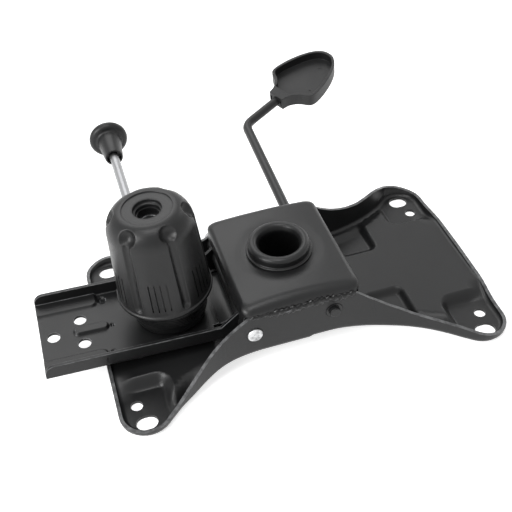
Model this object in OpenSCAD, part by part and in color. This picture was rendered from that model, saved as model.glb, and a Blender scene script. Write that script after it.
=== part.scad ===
// Push back mechanism of an office chair, as it lies upside down on a bench: the seat's
// side is down and the socket for the gas lift points up. The origin is the centre of the
// seat slots, level with the pads' undersides. X runs from the back bar to the seat's
// front, and the gas lever and the tilt lock reach out to +Y. Lengths are millimetres.

/* [Seat plate] */
// Length of the seat plate
plate_len = 285; // [275:1:310]
// Width of the seat plate across its pads
plate_w = 178; // [172:1:190]
// Width across the outsides of the side walls at the waist
waist_w = 102; // [98:1:108]
// Distance from the origin to the end of the straight waist, towards the back bar
waist_back = 32; // [26:1:36]
// Distance from the origin to the end of the straight waist, towards the front
waist_front = 22; // [16:1:30]
// Radius of the plate's four corners
corner_r = 19; // [15:1:24]
// Thickness of the pressed sheet
sheet = 2.5; // [2:0.1:3]
// Height of the panel's top over the pads' undersides
panel_top = 10.5; // [9:0.5:13]
// Height of the lip over the surface beside it
lip_h = 4.5; // [3:0.5:6]
// Height of the side walls' flat top
wall_top = 48; // [46:1:52]
// Distance from the origin to where the back flanks of the walls meet the lip
flank_back = 114; // [105:1:120]
// Distance from the origin to where the front flanks of the walls meet the lip
flank_front = 118; // [108:1:124]
// Length of a pad, measured from the plate's end
pad_len = 35.5; // [33:0.5:40]
// Width of a pad, measured from the plate's side
pad_w = 41; // [38:0.5:44]
// Run of the pressed slopes beside the pads for each millimetre of rise
pad_slope = 0.75; // [0.5:0.05:1.2]
// Depth of the two pockets in front of the housing
pocket_depth = 4.5; // [2:0.5:6]
// Length of a pocket's floor
pocket_len = 21; // [14:1:26]
// Place of the pockets' middle along the plate
pocket_x = 67.5; // [64:0.5:74]
// Distance from the middle line to a pocket's floor
pocket_in = 27; // [22:1:34]

/* [Seat fixing holes] */
// Distance between the slots along the plate
slot_span_x = 250; // [244:1:256]
// Distance between the slots across the plate
slot_span_y = 154; // [148:1:158]
// Width of a slot
slot_w = 12; // [8:0.5:13]
// Length of a slot
slot_len = 15; // [14:0.5:18]
// Distance between the round holes along the plate
hole_span_x = 258; // [250:1:262]
// Distance between the round holes across the plate
hole_span_y = 122; // [118:1:124]
// Diameter of the round holes
hole_d = 8.5; // [6:0.5:9]

/* [Column housing and socket] */
// Length of the housing
housing_len = 85; // [80:1:90]
// Place of the housing's middle along the plate
housing_x = -4.5; // [-6:0.5:-3]
// Radius of the folds over the side walls
housing_fold = 9; // [7:0.5:11]
// Radius of the folds at the housing's ends
end_fold = 4; // [3:0.5:6]
// Rise of the housing's top from its ends to its middle
crown = 2.5; // [1:0.5:4]
// Depth of the skirts at the housing's ends, below the walls' tops
skirt_drop = 6.5; // [4:0.5:7]
// Place of the socket along the plate
socket_x = -5; // [-7:0.5:-2]
// Outer radius of the socket's tube
socket_r = 17.5; // [17:0.1:18.5]
// Inner radius at the socket's mouth
mouth_r = 14.3; // [14:0.1:14.8]
// Inner radius at the socket's inner end
throat_r = 13.3; // [13:0.1:13.8]
// Length of the straight land inside the mouth
mouth_len = 7; // [5:0.5:10]
// Length of the socket below the middle of its rolled lip
socket_len = 36; // [33:1:37]
// Radius of the rolled lip's section
roll_r = 3; // [2.5:0.1:3.5]
// Radius of the dish round the socket
dish_r = 30; // [27:0.5:33]
// Depth of the dish
dish_depth = 2; // [1:0.25:3]
// Thickness of the weld beads over the walls' faces
weld_t = 1.6; // [1:0.1:2.5]

/* [Pivot and back bracket] */
// Place of the pivot along the plate
pivot_x = -40; // [-41:0.5:-38]
// Height of the pivot
pivot_z = 31.5; // [31:0.25:32.5]
// Diameter of the pivot pin
pin_d = 11; // [10:0.5:12]
// Outer diameter of the sleeve and the spacers on the pin
sleeve_d = 16; // [15:0.5:17]
// Width across the outsides of the bracket's walls
bracket_w = 72.8; // [72:0.4:78]
// Distance from the pivot to the bracket's free end
bracket_len = 142.5; // [138:0.5:155]
// Distance from the pivot down to the bracket's underside
base_drop = 15.2; // [14.5:0.1:15.5]
// Height of the bracket's walls
bracket_h = 12.5; // [11:0.5:13.5]
// Radius of the ears round the pivot
ear_r = 11.5; // [10.5:0.25:12]
// Angle of the bracket at rest
rest_tilt = 2.5; // [2:0.1:3]
// Diameter of the holes for the back bar's bolts
bar_hole_d = 9; // [7:0.5:10]
// Distance from the free end to the outer hole
bar_hole_end = 9.3; // [8:0.1:12]
// Distance from the outer hole to the two inner ones
bar_hole_step = 20.3; // [18:0.1:24]
// Distance between the two inner holes
bar_hole_span = 23.4; // [20:0.2:28]
// Distance from the pivot to the tension bolt
bolt_arm = 48.5; // [46:0.5:50]

/* [Tension screw and knob] */
// Diameter of the tension bolt
bolt_d = 12; // [10:0.5:13]
// Lean of the bolt towards the back bar
bolt_lean = 2.4; // [1.5:0.1:3]
// Diameter of the spring's wire
wire_d = 5.5; // [4.5:0.1:6]
// Diameter of the spring, between the middles of its wire
coil_d = 39; // [37:0.5:40]
// Turns of the spring
coil_turns = 8; // [6:1:9]
// Length of the spring at rest
spring_len = 68.8; // [64:0.2:74]
// Outer diameter of the spring cup
cup_d = 54; // [53:0.2:55]
// Height of the spring cup
cup_h = 20; // [16:0.5:21]
// Outer diameter of the knob's body at its foot
knob_d = 66; // [66:0.1:66.8]
// Outer diameter of the knob's body at its shoulder
knob_top_d = 59; // [57:0.5:61]
// Depth of the knob's hollow
knob_depth = 48.5; // [46:0.5:49]
// Height of the knob over its hollow
knob_head = 22.5; // [20:0.5:26]
// Thumb dimples round the knob
dimples = 6; // [5:1:8]
// Width across the flats of the knob's steel insert
insert_af = 19; // [18:0.5:21]

/* [Gas lever] */
// Diameter of the lever's rod
rod_d = 8; // [7:0.25:9]
// Place of the rod along the plate, at the middle line
lever_x = 19.6; // [19:0.2:22]
// Height of the rod
lever_z = 35; // [34.5:0.25:36]
// Angle of the rod to the mechanism's cross axis
lever_skew = 1.7; // [0:0.1:2.5]
// Distance from the middle line to the rod's corner
corner_y = 189; // [170:1:210]
// Radius of the bend
bend_r = 10; // [9:0.5:14]
// Direction of the rod's arm, seen from above
arm_plan = 26.5; // [15:0.5:40]
// Rise of the rod's arm
arm_rise = 10.5; // [5:0.5:15]
// Length of the arm from the corner to the paddle
arm_len = 39.2; // [34:0.2:50]
// Roll of the paddle about the arm
paddle_roll = 7.7; // [0:0.1:12]
// Length of the paddle
paddle_len = 68.5; // [60:0.5:80]
// Greatest width of the paddle
paddle_w = 51; // [44:1:60]
// Thickness of the paddle
paddle_t = 11; // [10.5:0.25:13]
// Width of the trigger tab
tab_w = 16; // [12:1:20]

/* [Tilt lock] */
// Diameter of the lock rod
lock_d = 8; // [7:0.1:8.4]
// Place of the lock rod along the plate
lock_x = -95; // [-95.5:0.25:-94]
// Height of the lock rod
lock_z = 25.5; // [25.25:0.05:25.75]
// Travel of the lock rod
lock_travel = 10; // [8:0.5:10]
// Distance from the middle line to the end of the lock knob
lock_reach = 232; // [210:1:250]
// Diameter of the lock knob's disc
lock_knob_d = 33.5; // [30:0.5:40]

/* [Hidden] */
$fn = 48;

// Colours: powder-coated steel, bare steel, plated steel, black plastic and rubber
coat = "#242528";
bare = "#6f7276";
plated = "#b4b8bd";
plastic = "#1b1b1d";
rubber = "#101011";

// Clearances: between a shaft and its hole, round a fixed piece in its hole, between
// pieces that move past each other, and the overrun of a cut
run = 0.05;
seat = 0.02;
gap = 0.2;
over = 1;
far_away = 400;

// Outline of the seat plate: corner arcs that run into concave waist arcs
corner_cx = plate_len / 2 - corner_r;
corner_cy = plate_w / 2 - corner_r;
waist_y = waist_w / 2;
corner_steps = 7;
waist_steps = 10;
function waist_r(xt) = let(dx = corner_cx - xt, h = corner_cy - waist_y)
    (dx * dx + h * h - corner_r * corner_r) / (2 * (h + corner_r));
function meet(xt) = atan2(waist_y + waist_r(xt) - corner_cy, xt - corner_cx);
function quarter(xt, inset) = concat(
    [for (i = [0:corner_steps]) let(a = meet(xt) * i / corner_steps)
        [corner_cx, corner_cy] + (corner_r - inset) * [cos(a), sin(a)]],
    [for (i = [1:waist_steps]) let(a = meet(xt) - 180 + (90 - meet(xt)) * i / waist_steps)
        [xt, waist_y + waist_r(xt)] + (waist_r(xt) + inset) * [cos(a), sin(a)]]);
function flip(pts, sx, sy) = [for (p = pts) [sx * p.x, sy * p.y]];
function reversed(pts) = [for (i = [len(pts) - 1:-1:0]) pts[i]];
function plate_outline(inset) = concat(
    quarter(waist_front, inset), reversed(flip(quarter(waist_back, inset), -1, 1)),
    flip(quarter(waist_back, inset), -1, -1), reversed(flip(quarter(waist_front, inset), 1, -1)));
// Distance from the middle line to a wall's face at a place x towards the back bar
function back_wall_y(x, inset) = let(r = waist_r(waist_back) + inset, dx = max(0, -x - waist_back))
    waist_y - inset + r - sqrt(r * r - dx * dx);
wall_in = waist_y - sheet;

// Side walls: the flanks' tops fall along a power curve from the shoulders to the lip
flank_steps = 8;
shoulder_z = wall_top - 3;
shoulder_back = 46;
shoulder_front = 37;
pad_lip_top = sheet + lip_h;
function flank(from, to, bend) = [for (i = [0:flank_steps]) let(u = i / flank_steps)
    [from + (to - from) * u, pad_lip_top + (shoulder_z - pad_lip_top) * pow(1 - u, bend)]];
pad_x = plate_len / 2 - pad_len;
pad_y = plate_w / 2 - pad_w;
lean_sheet = sheet * sqrt(1 + pad_slope * pad_slope) - sheet * pad_slope;
pocket_rise = 1.4;
pocket_sheet = sheet * sqrt(1 + pocket_rise * pocket_rise) - sheet * pocket_rise;

// Column housing
housing_back = housing_x - housing_len / 2;
housing_front = housing_x + housing_len / 2;
housing_top = wall_top + housing_fold;
housing_corner = 6;
back_skirt_w = 60;
dish_floor = housing_top - dish_depth;
dish_floor_r = dish_r - 6;
mouth_z = housing_top + 5;
land_top = mouth_z - 1;
ring_r = socket_r + 5;
ring_t = 1.6;
hole_slack = 0.3;
fold_steps = 6;
crown_steps = 10;

// Pivot and bracket
pin_r = pin_d / 2;
sleeve_r = sleeve_d / 2;
head_r = 9;
head_t = 3.5;
pin_near = back_wall_y(pivot_x - pin_r, 0) + 0.8;
pin_head = back_wall_y(pivot_x - head_r, 0) + run;
groove_r = pin_r - 0.8;
clip_t = 1.2;
clip_y = wall_in - clip_t - 2 * run;
bracket_y = bracket_w / 2;
bracket_in = bracket_y - sheet;
base_top = sheet - base_drop;
bracket_top = bracket_h - base_drop;
base_end = 6.5;
bend_out = 3.5;
bolt_hole_r = bolt_d / 2 + 3;
bar_outer_x = bar_hole_end - bracket_len;
bar_inner_x = bar_outer_x + bar_hole_step;

// Tension screw, measured along the bolt from the panel's top
bolt_x = pivot_x - bolt_arm * cos(rest_tilt);
bolt_r = bolt_d / 2;
cup_r = cup_d / 2;
cup_floor = 2.5;
cup_floor_z = pivot_z + bolt_arm * sin(rest_tilt) + (base_top + cup_floor) * cos(rest_tilt) - panel_top;
coil_r = coil_d / 2;
wire_r = wire_d / 2;
spring_low = cup_floor_z + (coil_r + wire_r) * tan(rest_tilt + bolt_lean) + gap;
washer_z = spring_low + spring_len + 0.1;
washer_t = 2;
washer_r = 25;
knob_z = washer_z + washer_t;
insert_t = 12;
bolt_tip = knob_z + insert_t + 1;
washer_slack = 0.1;
bolt_washer_r = 13;
bolt_washer_t = 1.6;
bolt_washer_top = -sheet - bolt_washer_r * tan(bolt_lean) - run;
bolt_head_af = 19;
bolt_head_t = 4.6;

// Knob, measured from the roof of its hollow
knob_r = knob_d / 2;
knob_top_r = knob_top_d / 2;
rim_r = knob_r + 0.6;
rim_t = 3;
shoulder_start = 8;
plateau_r = 17.6;
knob_bore_r = 7.4;
counterbore_r = 9.9;
counterbore_t = 2.8;
groove_ends = 16;
groove_w = 6;
groove_depth = 1.5;
dimple_r = 8;
dimple_turn = -13;
slits = 4;
slit_w = 0.7;
slit_step = 4.2;
slit_len = 24;
slit_low = 8;
function knob_wall(z) = knob_r + (knob_top_r - knob_r)
    * (z + knob_depth - rim_t) / (shoulder_start + knob_depth - rim_t);
knob_slope = atan((knob_r - knob_top_r) / (shoulder_start + knob_depth - rim_t));

// Spring: one tube whose end turns lie closer together than its middle ones
coil_rings = 8;
coil_sides = 6;
end_pitch = wire_d + 0.7;
coil_rise = spring_len - wire_d;
mid_pitch = (coil_rise - 2 * end_pitch) / (coil_turns - 2);
function coil_z(t) = t < 1 ? end_pitch * t
    : t > coil_turns - 1 ? coil_rise - end_pitch * (coil_turns - t)
    : end_pitch + mid_pitch * (t - 1);
coil_count = coil_rings * coil_turns;
function coil_at(i) = let(t = i / coil_rings)
    [coil_r * cos(360 * t), coil_r * sin(360 * t), wire_r + coil_z(t)];
function ring_points(i) = let(
        a = 360 * i / coil_rings,
        out = [cos(a), sin(a), 0],
        rise = atan2(coil_z((i + 0.5) / coil_rings) - coil_z((i - 0.5) / coil_rings),
            2 * PI * coil_r / coil_rings),
        up = [sin(a) * sin(rise), -cos(a) * sin(rise), cos(rise)])
    [for (s = [0:coil_sides - 1]) let(b = 360 * s / coil_sides)
        coil_at(i) + wire_r * (cos(b) * out + sin(b) * up)];
coil_points = [for (i = [0:coil_count]) each ring_points(i)];
coil_faces = concat(
    [for (i = [0:coil_count - 1], s = [0:coil_sides - 1]) let(
        a = i * coil_sides + s, b = i * coil_sides + (s + 1) % coil_sides)
        each [[a, a + coil_sides, b], [b, a + coil_sides, b + coil_sides]]],
    [for (s = [1:coil_sides - 2]) [0, s, s + 1]],
    [for (s = [1:coil_sides - 2]) let(e = coil_count * coil_sides) [e, e + s + 1, e + s]]);
spring_gap = min([for (i = [0:coil_count - coil_rings])
    norm(coil_at(i + coil_rings) - coil_at(i))]) - wire_d;
echo(spring_gap = spring_gap);

// Gas lever
rod_r = rod_d / 2;
function lever_at(y) = lever_x + y * tan(lever_skew);
rod_tip = -(waist_y + 3) / cos(lever_skew);
corner_run = corner_y / cos(lever_skew);
arm_turn = arm_plan + lever_skew;
bend_angle = acos(cos(arm_rise) * sin(arm_turn));
bend_roll = atan2(sin(arm_rise), cos(arm_rise) * cos(arm_turn));
bend_start = corner_run - bend_r * tan(bend_angle / 2);
arm_in = 7.5;
bush_r = rod_r + 2;
flange_r = rod_r + 4;
flange_t = 2;
paddle_wall = 1.8;
paddle_floor = 2.5;
neck_w = 16;
neck_len = 9;
tab_low = 18;
tab_t = 3;
tab_back = 31.6;
tab_front = 2.4;
web_t = 4;
// Half outline of the paddle: place along it, and width as a share of the greatest one
paddle_curve = [[0, neck_w / paddle_w], [0.09, 0.36], [0.165, 0.48], [0.225, 0.66], [0.28, 0.91],
    [0.34, 1], [0.44, 0.99], [0.57, 0.9], [0.72, 0.75], [0.84, 0.57], [0.93, 0.37], [0.985, 0.17]];
paddle_mid = [for (p = paddle_curve) [p[0] * paddle_len, p[1] * paddle_w / 2]];
paddle_ctrl = concat(paddle_mid, [[paddle_len, 0]], reversed(flip(paddle_mid, 1, -1)));
spline_steps = 4;
function spline(a, b, c, d, t) = 0.5 * (2 * b + (c - a) * t + (2 * a - 5 * b + 4 * c - d) * t * t
    + (3 * b - a - 3 * c + d) * t * t * t);
function through(pts) = let(n = len(pts)) concat([for (i = [0:n - 2], k = [0:spline_steps - 1])
    spline(pts[max(i - 1, 0)], pts[i], pts[i + 1], pts[min(i + 2, n - 1)], k / spline_steps)],
    [pts[n - 1]]);

// Tilt lock
lock_r = lock_d / 2;
lock_tip = bracket_y + 1.2;
lock_hole_r = lock_r + 0.3;
ear_t = 2;
guide_near = 43;
clip_room = clip_t + 0.8;
guide_gap = lock_travel + clip_room;
guide_far = guide_near + ear_t + guide_gap;
guide_r = lock_r + 2;
guide_foot = 6;
lock_clip_y = guide_far - clip_t - 0.3;
lock_knob_r = lock_knob_d / 2;
disc_t = 10;
stem_len = 26;
stem_r = 7.8;
stem_root_r = 11.5;
lock_recess_r = 6.5;
lock_recess = 5;
knob_foot = lock_reach - disc_t - stem_len;
lock_in = 22;

// Bumpers under the bracket
bumper_x = -118;
bumper_y = 20;
bumper_r = 7;
bumper_top = pivot_z - base_drop / cos(rest_tilt)
    + (pivot_x - bumper_x - bumper_r) * tan(rest_tilt) - 0.3;

// A profile in the X-Z plane, drawn right across
module across(span) rotate([90, 0, 0]) linear_extrude(span, center = true) children();
// A profile whose first axis is Y and second is Z, drawn along X
module lengthwise(span) rotate([90, 0, 90]) linear_extrude(span, center = true) children();
// A round bar along Y from y0 to y1
module bar_y(y0, y1, r) translate([0, y0, 0]) rotate([-90, 0, 0]) cylinder(r = r, h = y1 - y0);
// A ring along Y
module ring_y(y0, y1, hole, r) difference() {
    bar_y(y0, y1, r);
    bar_y(y0 - over, y1 + over, hole);
}
module at_pivot() translate([pivot_x, 0, pivot_z]) children();
module on_pivot() at_pivot() rotate([0, rest_tilt, 0]) children();
// From the bracket's own frame back to the mechanism's
module off_pivot() rotate([0, -rest_tilt, 0]) translate([-pivot_x, 0, -pivot_z]) children();
module on_bolt() translate([bolt_x, 0, panel_top]) rotate([0, -bolt_lean, 0]) children();
module on_lever() translate([lever_x, 0, lever_z]) rotate([0, 0, -lever_skew]) children();
module on_arm() on_lever() translate([0, corner_run, 0])
    rotate([paddle_roll, -arm_rise, arm_turn]) translate([arm_len, 0, 0]) children();
module on_lock() translate([lock_x, 0, lock_z]) children();
module corners(x, y) for (sx = [-1, 1], sy = [-1, 1]) translate([sx * x, sy * y, 0]) children();

// Space over the four corners: it starts at height z0, and its two inner sides lean
module corner_space(z0, x0, y0, z1) {
    function side(d) = [[d, z0], [d - pad_slope * (z1 - z0), z1], [far_away, z1], [far_away, z0]];
    intersection() {
        across(far_away) for (s = [0, 1]) mirror([s, 0]) polygon(side(x0));
        lengthwise(far_away) for (s = [0, 1]) mirror([s, 0]) polygon(side(y0));
    }
}
// Space of the two pockets, from height z0 up, grown by a margin
module pocket_space(z0, z1, grow) {
    half = pocket_len / 2 + grow;
    spread = pocket_rise * (z1 - z0);
    intersection() {
        translate([pocket_x, 0, 0]) across(far_away) polygon([[-half, z0],
            [-half - spread, z1], [half + spread, z1], [half, z0]]);
        lengthwise(far_away) for (s = [0, 1]) mirror([s, 0]) polygon([[pocket_in - grow, z0],
            [pocket_in - grow - spread, z1], [far_away, z1], [far_away, z0]]);
    }
}
// Space under the sheet, which the pads and the pockets stand in
module under_sheet() difference() {
    translate([-far_away, -far_away, -over]) cube([2 * far_away, 2 * far_away, panel_top - sheet + over]);
    corner_space(-over, pad_x - lean_sheet + pad_slope * over, pad_y - lean_sheet + pad_slope * over,
        panel_top);
    pocket_space(panel_top - pocket_depth - sheet, panel_top, pocket_sheet);
}
module plate_floor() difference() {
    linear_extrude(panel_top) polygon(plate_outline(0));
    corner_space(sheet, pad_x, pad_y, panel_top + over);
    intersection() {
        pocket_space(panel_top - pocket_depth, panel_top + over, 0);
        linear_extrude(panel_top + 2 * over) polygon(plate_outline(sheet));
    }
}
module plate_rim() intersection() {
    linear_extrude(wall_top + over) difference() {
        polygon(plate_outline(0));
        polygon(plate_outline(sheet));
    }
    union() {
        difference() {
            translate([-far_away, -far_away, 0]) cube([2 * far_away, 2 * far_away, panel_top + lip_h]);
            corner_space(pad_lip_top, pad_x, pad_y, panel_top + lip_h + over);
        }
        across(far_away) polygon(concat(
            [[-shoulder_back + 6, wall_top]], flip(flank(shoulder_back, flank_back, 0.9), -1, 1),
            [[-flank_back, 0], [flank_front, 0]], reversed(flank(shoulder_front, flank_front, 1.6)),
            [[shoulder_front - 4, wall_top]]));
    }
}
module seat_plate() color(coat) difference() {
    union() {
        plate_floor();
        plate_rim();
    }
    under_sheet();
    corners(slot_span_x / 2, slot_span_y / 2) for (s = [-1, 1])
        translate([s * (slot_len - slot_w) / 2, 0, -over]) cylinder(d = slot_w, h = panel_top);
    corners(slot_span_x / 2, slot_span_y / 2)
        translate([(slot_w - slot_len) / 2, -slot_w / 2, -over])
            cube([slot_len - slot_w, slot_w, panel_top]);
    corners(hole_span_x / 2, hole_span_y / 2) translate([0, 0, -over]) cylinder(d = hole_d, h = panel_top);
    on_bolt() translate([0, 0, -sheet - 3]) cylinder(r = bolt_r + 0.6, h = sheet + 6);
    at_pivot() bar_y(-waist_w, waist_w, pin_r + run);
    for (s = [-1, 1]) translate([lever_at(s * waist_y), 0, lever_z])
        bar_y(min(0, s * waist_w), max(0, s * waist_w), bush_r + seat);
}

// The housing's outer form, or its inner one when inset by the sheet
module housing_form(inset) {
    fold_y = waist_y - housing_fold;
    crown_half = housing_len / 2 - end_fold;
    crown_r = (crown_half * crown_half + crown * crown) / (2 * crown);
    crown_a = asin(crown_half / crown_r);
    end_z = housing_top - crown - end_fold;
    low = wall_top - 2 * skirt_drop;
    intersection() {
        lengthwise(far_away) polygon(concat([[waist_y - inset, low]],
            [for (i = [0:fold_steps]) let(a = 90 * i / fold_steps)
                [fold_y, wall_top] + (housing_fold - inset) * [cos(a), sin(a)]],
            [for (i = [fold_steps:-1:0]) let(a = 90 * i / fold_steps)
                [-fold_y, wall_top] + (housing_fold - inset) * [-cos(a), sin(a)]],
            [[inset - waist_y, low]]));
        translate([housing_x, 0, 0]) across(far_away) polygon(concat(
            [[housing_len / 2 - inset, low]],
            [for (i = [0:fold_steps]) let(a = (90 - crown_a) * i / fold_steps)
                [crown_half, end_z] + (end_fold - inset) * [cos(a), sin(a)]],
            [for (i = [0:crown_steps]) let(a = 90 - crown_a + 2 * crown_a * i / crown_steps)
                [0, housing_top - crown_r] + (crown_r - inset) * [cos(a), sin(a)]],
            [for (i = [fold_steps:-1:0]) let(a = (90 - crown_a) * i / fold_steps)
                [-crown_half, end_z] + (end_fold - inset) * [-cos(a), sin(a)]],
            [[inset - housing_len / 2, low]]));
        translate([housing_x, 0, 0]) linear_extrude(far_away) {
            in_x = housing_len / 2 - housing_corner;
            in_y = waist_y - housing_corner;
            square([2 * in_x, 2 * waist_y - 2 * inset], center = true);
            square([housing_len - 2 * inset, 2 * in_y], center = true);
            for (sx = [-1, 1], sy = [-1, 1]) translate([sx * in_x, sy * in_y])
                circle(r = housing_corner - inset);
        }
    }
}
module dish(lower) translate([socket_x, 0, 0]) rotate_extrude() polygon([[0, dish_floor - lower],
    [dish_floor_r, dish_floor - lower], [dish_r, housing_top - lower], [dish_r, far_away], [0, far_away]]);
module column_housing() color(coat) difference() {
    housing_form(0);
    dish(0);
    difference() {
        housing_form(sheet);
        dish(sheet);
    }
    for (s = [-1, 1]) translate([-far_away, s > 0 ? wall_in - 0.5 : -far_away, 0])
        cube([2 * far_away, far_away - wall_in + 0.5, wall_top]);
    translate([-far_away, -far_away, 0]) cube([2 * far_away, 2 * far_away, wall_top - skirt_drop]);
    for (s = [0, 1]) mirror([0, s, 0]) translate([housing_back - over, back_skirt_w / 2, 0])
        cube([sheet + 2 * over + housing_corner, waist_y, wall_top]);
    translate([socket_x, 0, 0]) cylinder(r = socket_r + hole_slack, h = far_away);
}
module taper_socket() color(coat) translate([socket_x, 0, 0]) difference() {
    union() {
        translate([0, 0, mouth_z - socket_len]) cylinder(r = socket_r, h = socket_len - roll_r + 0.5);
        translate([0, 0, dish_floor]) cylinder(r = ring_r, h = ring_t);
        translate([0, 0, mouth_z]) rotate_extrude() translate([mouth_r + 1.1 + roll_r, 0]) circle(r = roll_r);
        translate([0, 0, mouth_z - roll_r]) cylinder(r = socket_r, h = roll_r);
    }
    translate([0, 0, land_top - mouth_len]) cylinder(r = mouth_r, h = mouth_len + roll_r);
    translate([0, 0, mouth_z - socket_len]) cylinder(r1 = throat_r, r2 = mouth_r,
        h = socket_len - mouth_len - 1);
    translate([0, 0, mouth_z - socket_len - over]) cylinder(r = throat_r, h = over);
}
// A weld bead along each wall: its outline swells and thins like laid metal
module housing_welds() {
    bead_in = 4.5;
    bead_back = housing_back + bead_in;
    bead_len = housing_len - 2 * bead_in;
    beads = 38;
    function swell(i) = weld_t * (1 + 0.22 * sin(i * 137) + 0.12 * sin(i * 61));
    color(coat) for (s = [0, 1]) mirror([0, s, 0]) difference() {
        translate([bead_back, waist_y, wall_top - 2]) linear_extrude(4) polygon(concat([[0, -over]],
            [for (i = [0:beads]) [bead_len * i / beads, i == 0 || i == beads ? 0.4 : swell(i)]],
            [[bead_len, -over]]));
        linear_extrude(far_away) polygon(plate_outline(0));
    }
}

module pivot_pin() color(plated) at_pivot() difference() {
    union() {
        bar_y(-pin_near + 0.6, pin_head, pin_r);
        translate([0, -pin_near, 0]) rotate([-90, 0, 0]) cylinder(r1 = pin_r - 0.6, r2 = pin_r, h = 0.6);
        bar_y(pin_head, pin_head + head_t - 1, head_r);
        translate([0, pin_head + head_t - 1, 0]) rotate([-90, 0, 0])
            cylinder(r1 = head_r, r2 = head_r - 1.5, h = 1);
    }
    ring_y(-clip_y - clip_t - run, -clip_y + run, groove_r, pin_r + over);
}
module pivot_circlip() color(bare) at_pivot() difference() {
    ring_y(-clip_y - clip_t, -clip_y, groove_r + run, pin_r + 3);
    translate([-2, -far_away / 2, -2 * pin_r]) cube([4, far_away, 2 * pin_r]);
}
module pivot_bush_near() color(plastic) at_pivot()
    ring_y(run - clip_y, -bracket_y - gap, pin_r + run, sleeve_r);
module pivot_bush_far() color(plastic) at_pivot()
    ring_y(bracket_y + gap, wall_in - run, pin_r + run, sleeve_r);
module pivot_sleeve() color(bare) on_pivot()
    ring_y(-bracket_in, bracket_in, pin_r + run, sleeve_r);

// Side view of a bracket wall: a strip with a round free end, which rises to the ear
module bracket_side() {
    end_r = 7;
    rise_x = -30;
    difference() {
        union() {
            translate([-bracket_len, -base_drop]) square([bracket_len + rise_x + over, bracket_h]);
            polygon([[rise_x, -base_drop], [rise_x, bracket_top], (ear_r - over) * [cos(125), sin(125)],
                [0, 0], (ear_r - over) * [cos(-50), sin(-50)], [-base_end, -base_drop]]);
            circle(r = ear_r);
        }
        translate([-bracket_len - over, bracket_top - end_r]) square([end_r + over, end_r + over]);
        circle(r = pin_r + run);
    }
    translate([end_r - bracket_len, bracket_top - end_r]) circle(r = end_r);
}
// End view of the channel, with round bends, or its inside when inset by the sheet
module channel_end(inset, top) {
    r = bend_out - inset;
    y = bracket_y - bend_out;
    polygon(concat([[-y - r, top]],
        [for (i = [0:fold_steps]) let(a = 180 + 90 * i / fold_steps)
            [-y, bend_out - base_drop] + r * [cos(a), sin(a)]],
        [for (i = [0:fold_steps]) let(a = 270 + 90 * i / fold_steps)
            [y, bend_out - base_drop] + r * [cos(a), sin(a)]], [[y + r, top]]));
}
module back_bracket() {
    ledge_in = 22;
    ledge_h = 1.6;
    ledge_back = bracket_len - 1.5;
    ledge_len = 42;
    rib_w = 7.5;
    rib_h = 2;
    rib_back = bar_inner_x - 6;
    rib_len = 25;
    relief_in = 22;
    relief_len = 16;
    color(coat) on_pivot() difference() {
        union() {
            difference() {
                intersection() {
                    across(bracket_w) bracket_side();
                    lengthwise(far_away) channel_end(0, far_away);
                }
                lengthwise(far_away) channel_end(sheet, far_away);
            }
            for (s = [0, 1]) mirror([0, s, 0]) translate([-ledge_back, ledge_in, base_top])
                cube([ledge_len, bracket_in - ledge_in + over, ledge_h]);
            translate([rib_back, -rib_w / 2, base_top]) cube([rib_len, rib_w, rib_h]);
        }
        for (s = [0, 1]) mirror([0, s, 0]) translate([-base_end - relief_len, relief_in,
            -base_drop - over]) cube([far_away, bracket_y - bend_out - 0.5 - relief_in, sheet + over]);
        translate([bar_outer_x, 0, -base_drop - over]) cylinder(d = bar_hole_d, h = 3 * sheet);
        for (s = [-1, 1]) translate([bar_inner_x, s * bar_hole_span / 2, -base_drop - over])
            cylinder(d = bar_hole_d, h = 3 * sheet);
        translate([-bolt_arm, 0, -base_drop - over]) cylinder(r = bolt_hole_r, h = 3 * sheet);
        off_pivot() on_lock() bar_y(0, bracket_w, lock_hole_r);
    }
}
module spring_cup() {
    ridges = 6;
    ridge_low = cup_h * 0.48;
    ridge_step = (cup_h - 1.2 - ridge_low) / ridges;
    lip_in = cup_r - 2.1;
    color(plastic) on_pivot() translate([-bolt_arm, 0, base_top]) rotate_extrude() polygon(concat(
        [[bolt_hole_r, 0], [cup_r - 4.4, 0], [cup_r - 2.4, 2], [cup_r - 1.1, 6]],
        [for (i = [0:ridges - 1]) let(z = ridge_low + ridge_step * i)
            each [[cup_r - 0.6, z], [cup_r, z + ridge_step * 0.3], [cup_r, z + ridge_step * 0.7]]],
        [[cup_r - 0.6, cup_h - 1.2], [cup_r, cup_h - 1], [cup_r, cup_h], [lip_in, cup_h],
            [lip_in, 8], [coil_r + wire_r + 0.5, cup_floor], [bolt_hole_r, cup_floor]]));
}
module rest_pads() color(rubber) for (s = [-1, 1]) translate([bumper_x, s * bumper_y, panel_top]) {
    cylinder(r = bumper_r, h = bumper_top - panel_top - 1);
    translate([0, 0, bumper_top - panel_top - 1]) cylinder(r1 = bumper_r, r2 = bumper_r - 1, h = 1);
}

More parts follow.
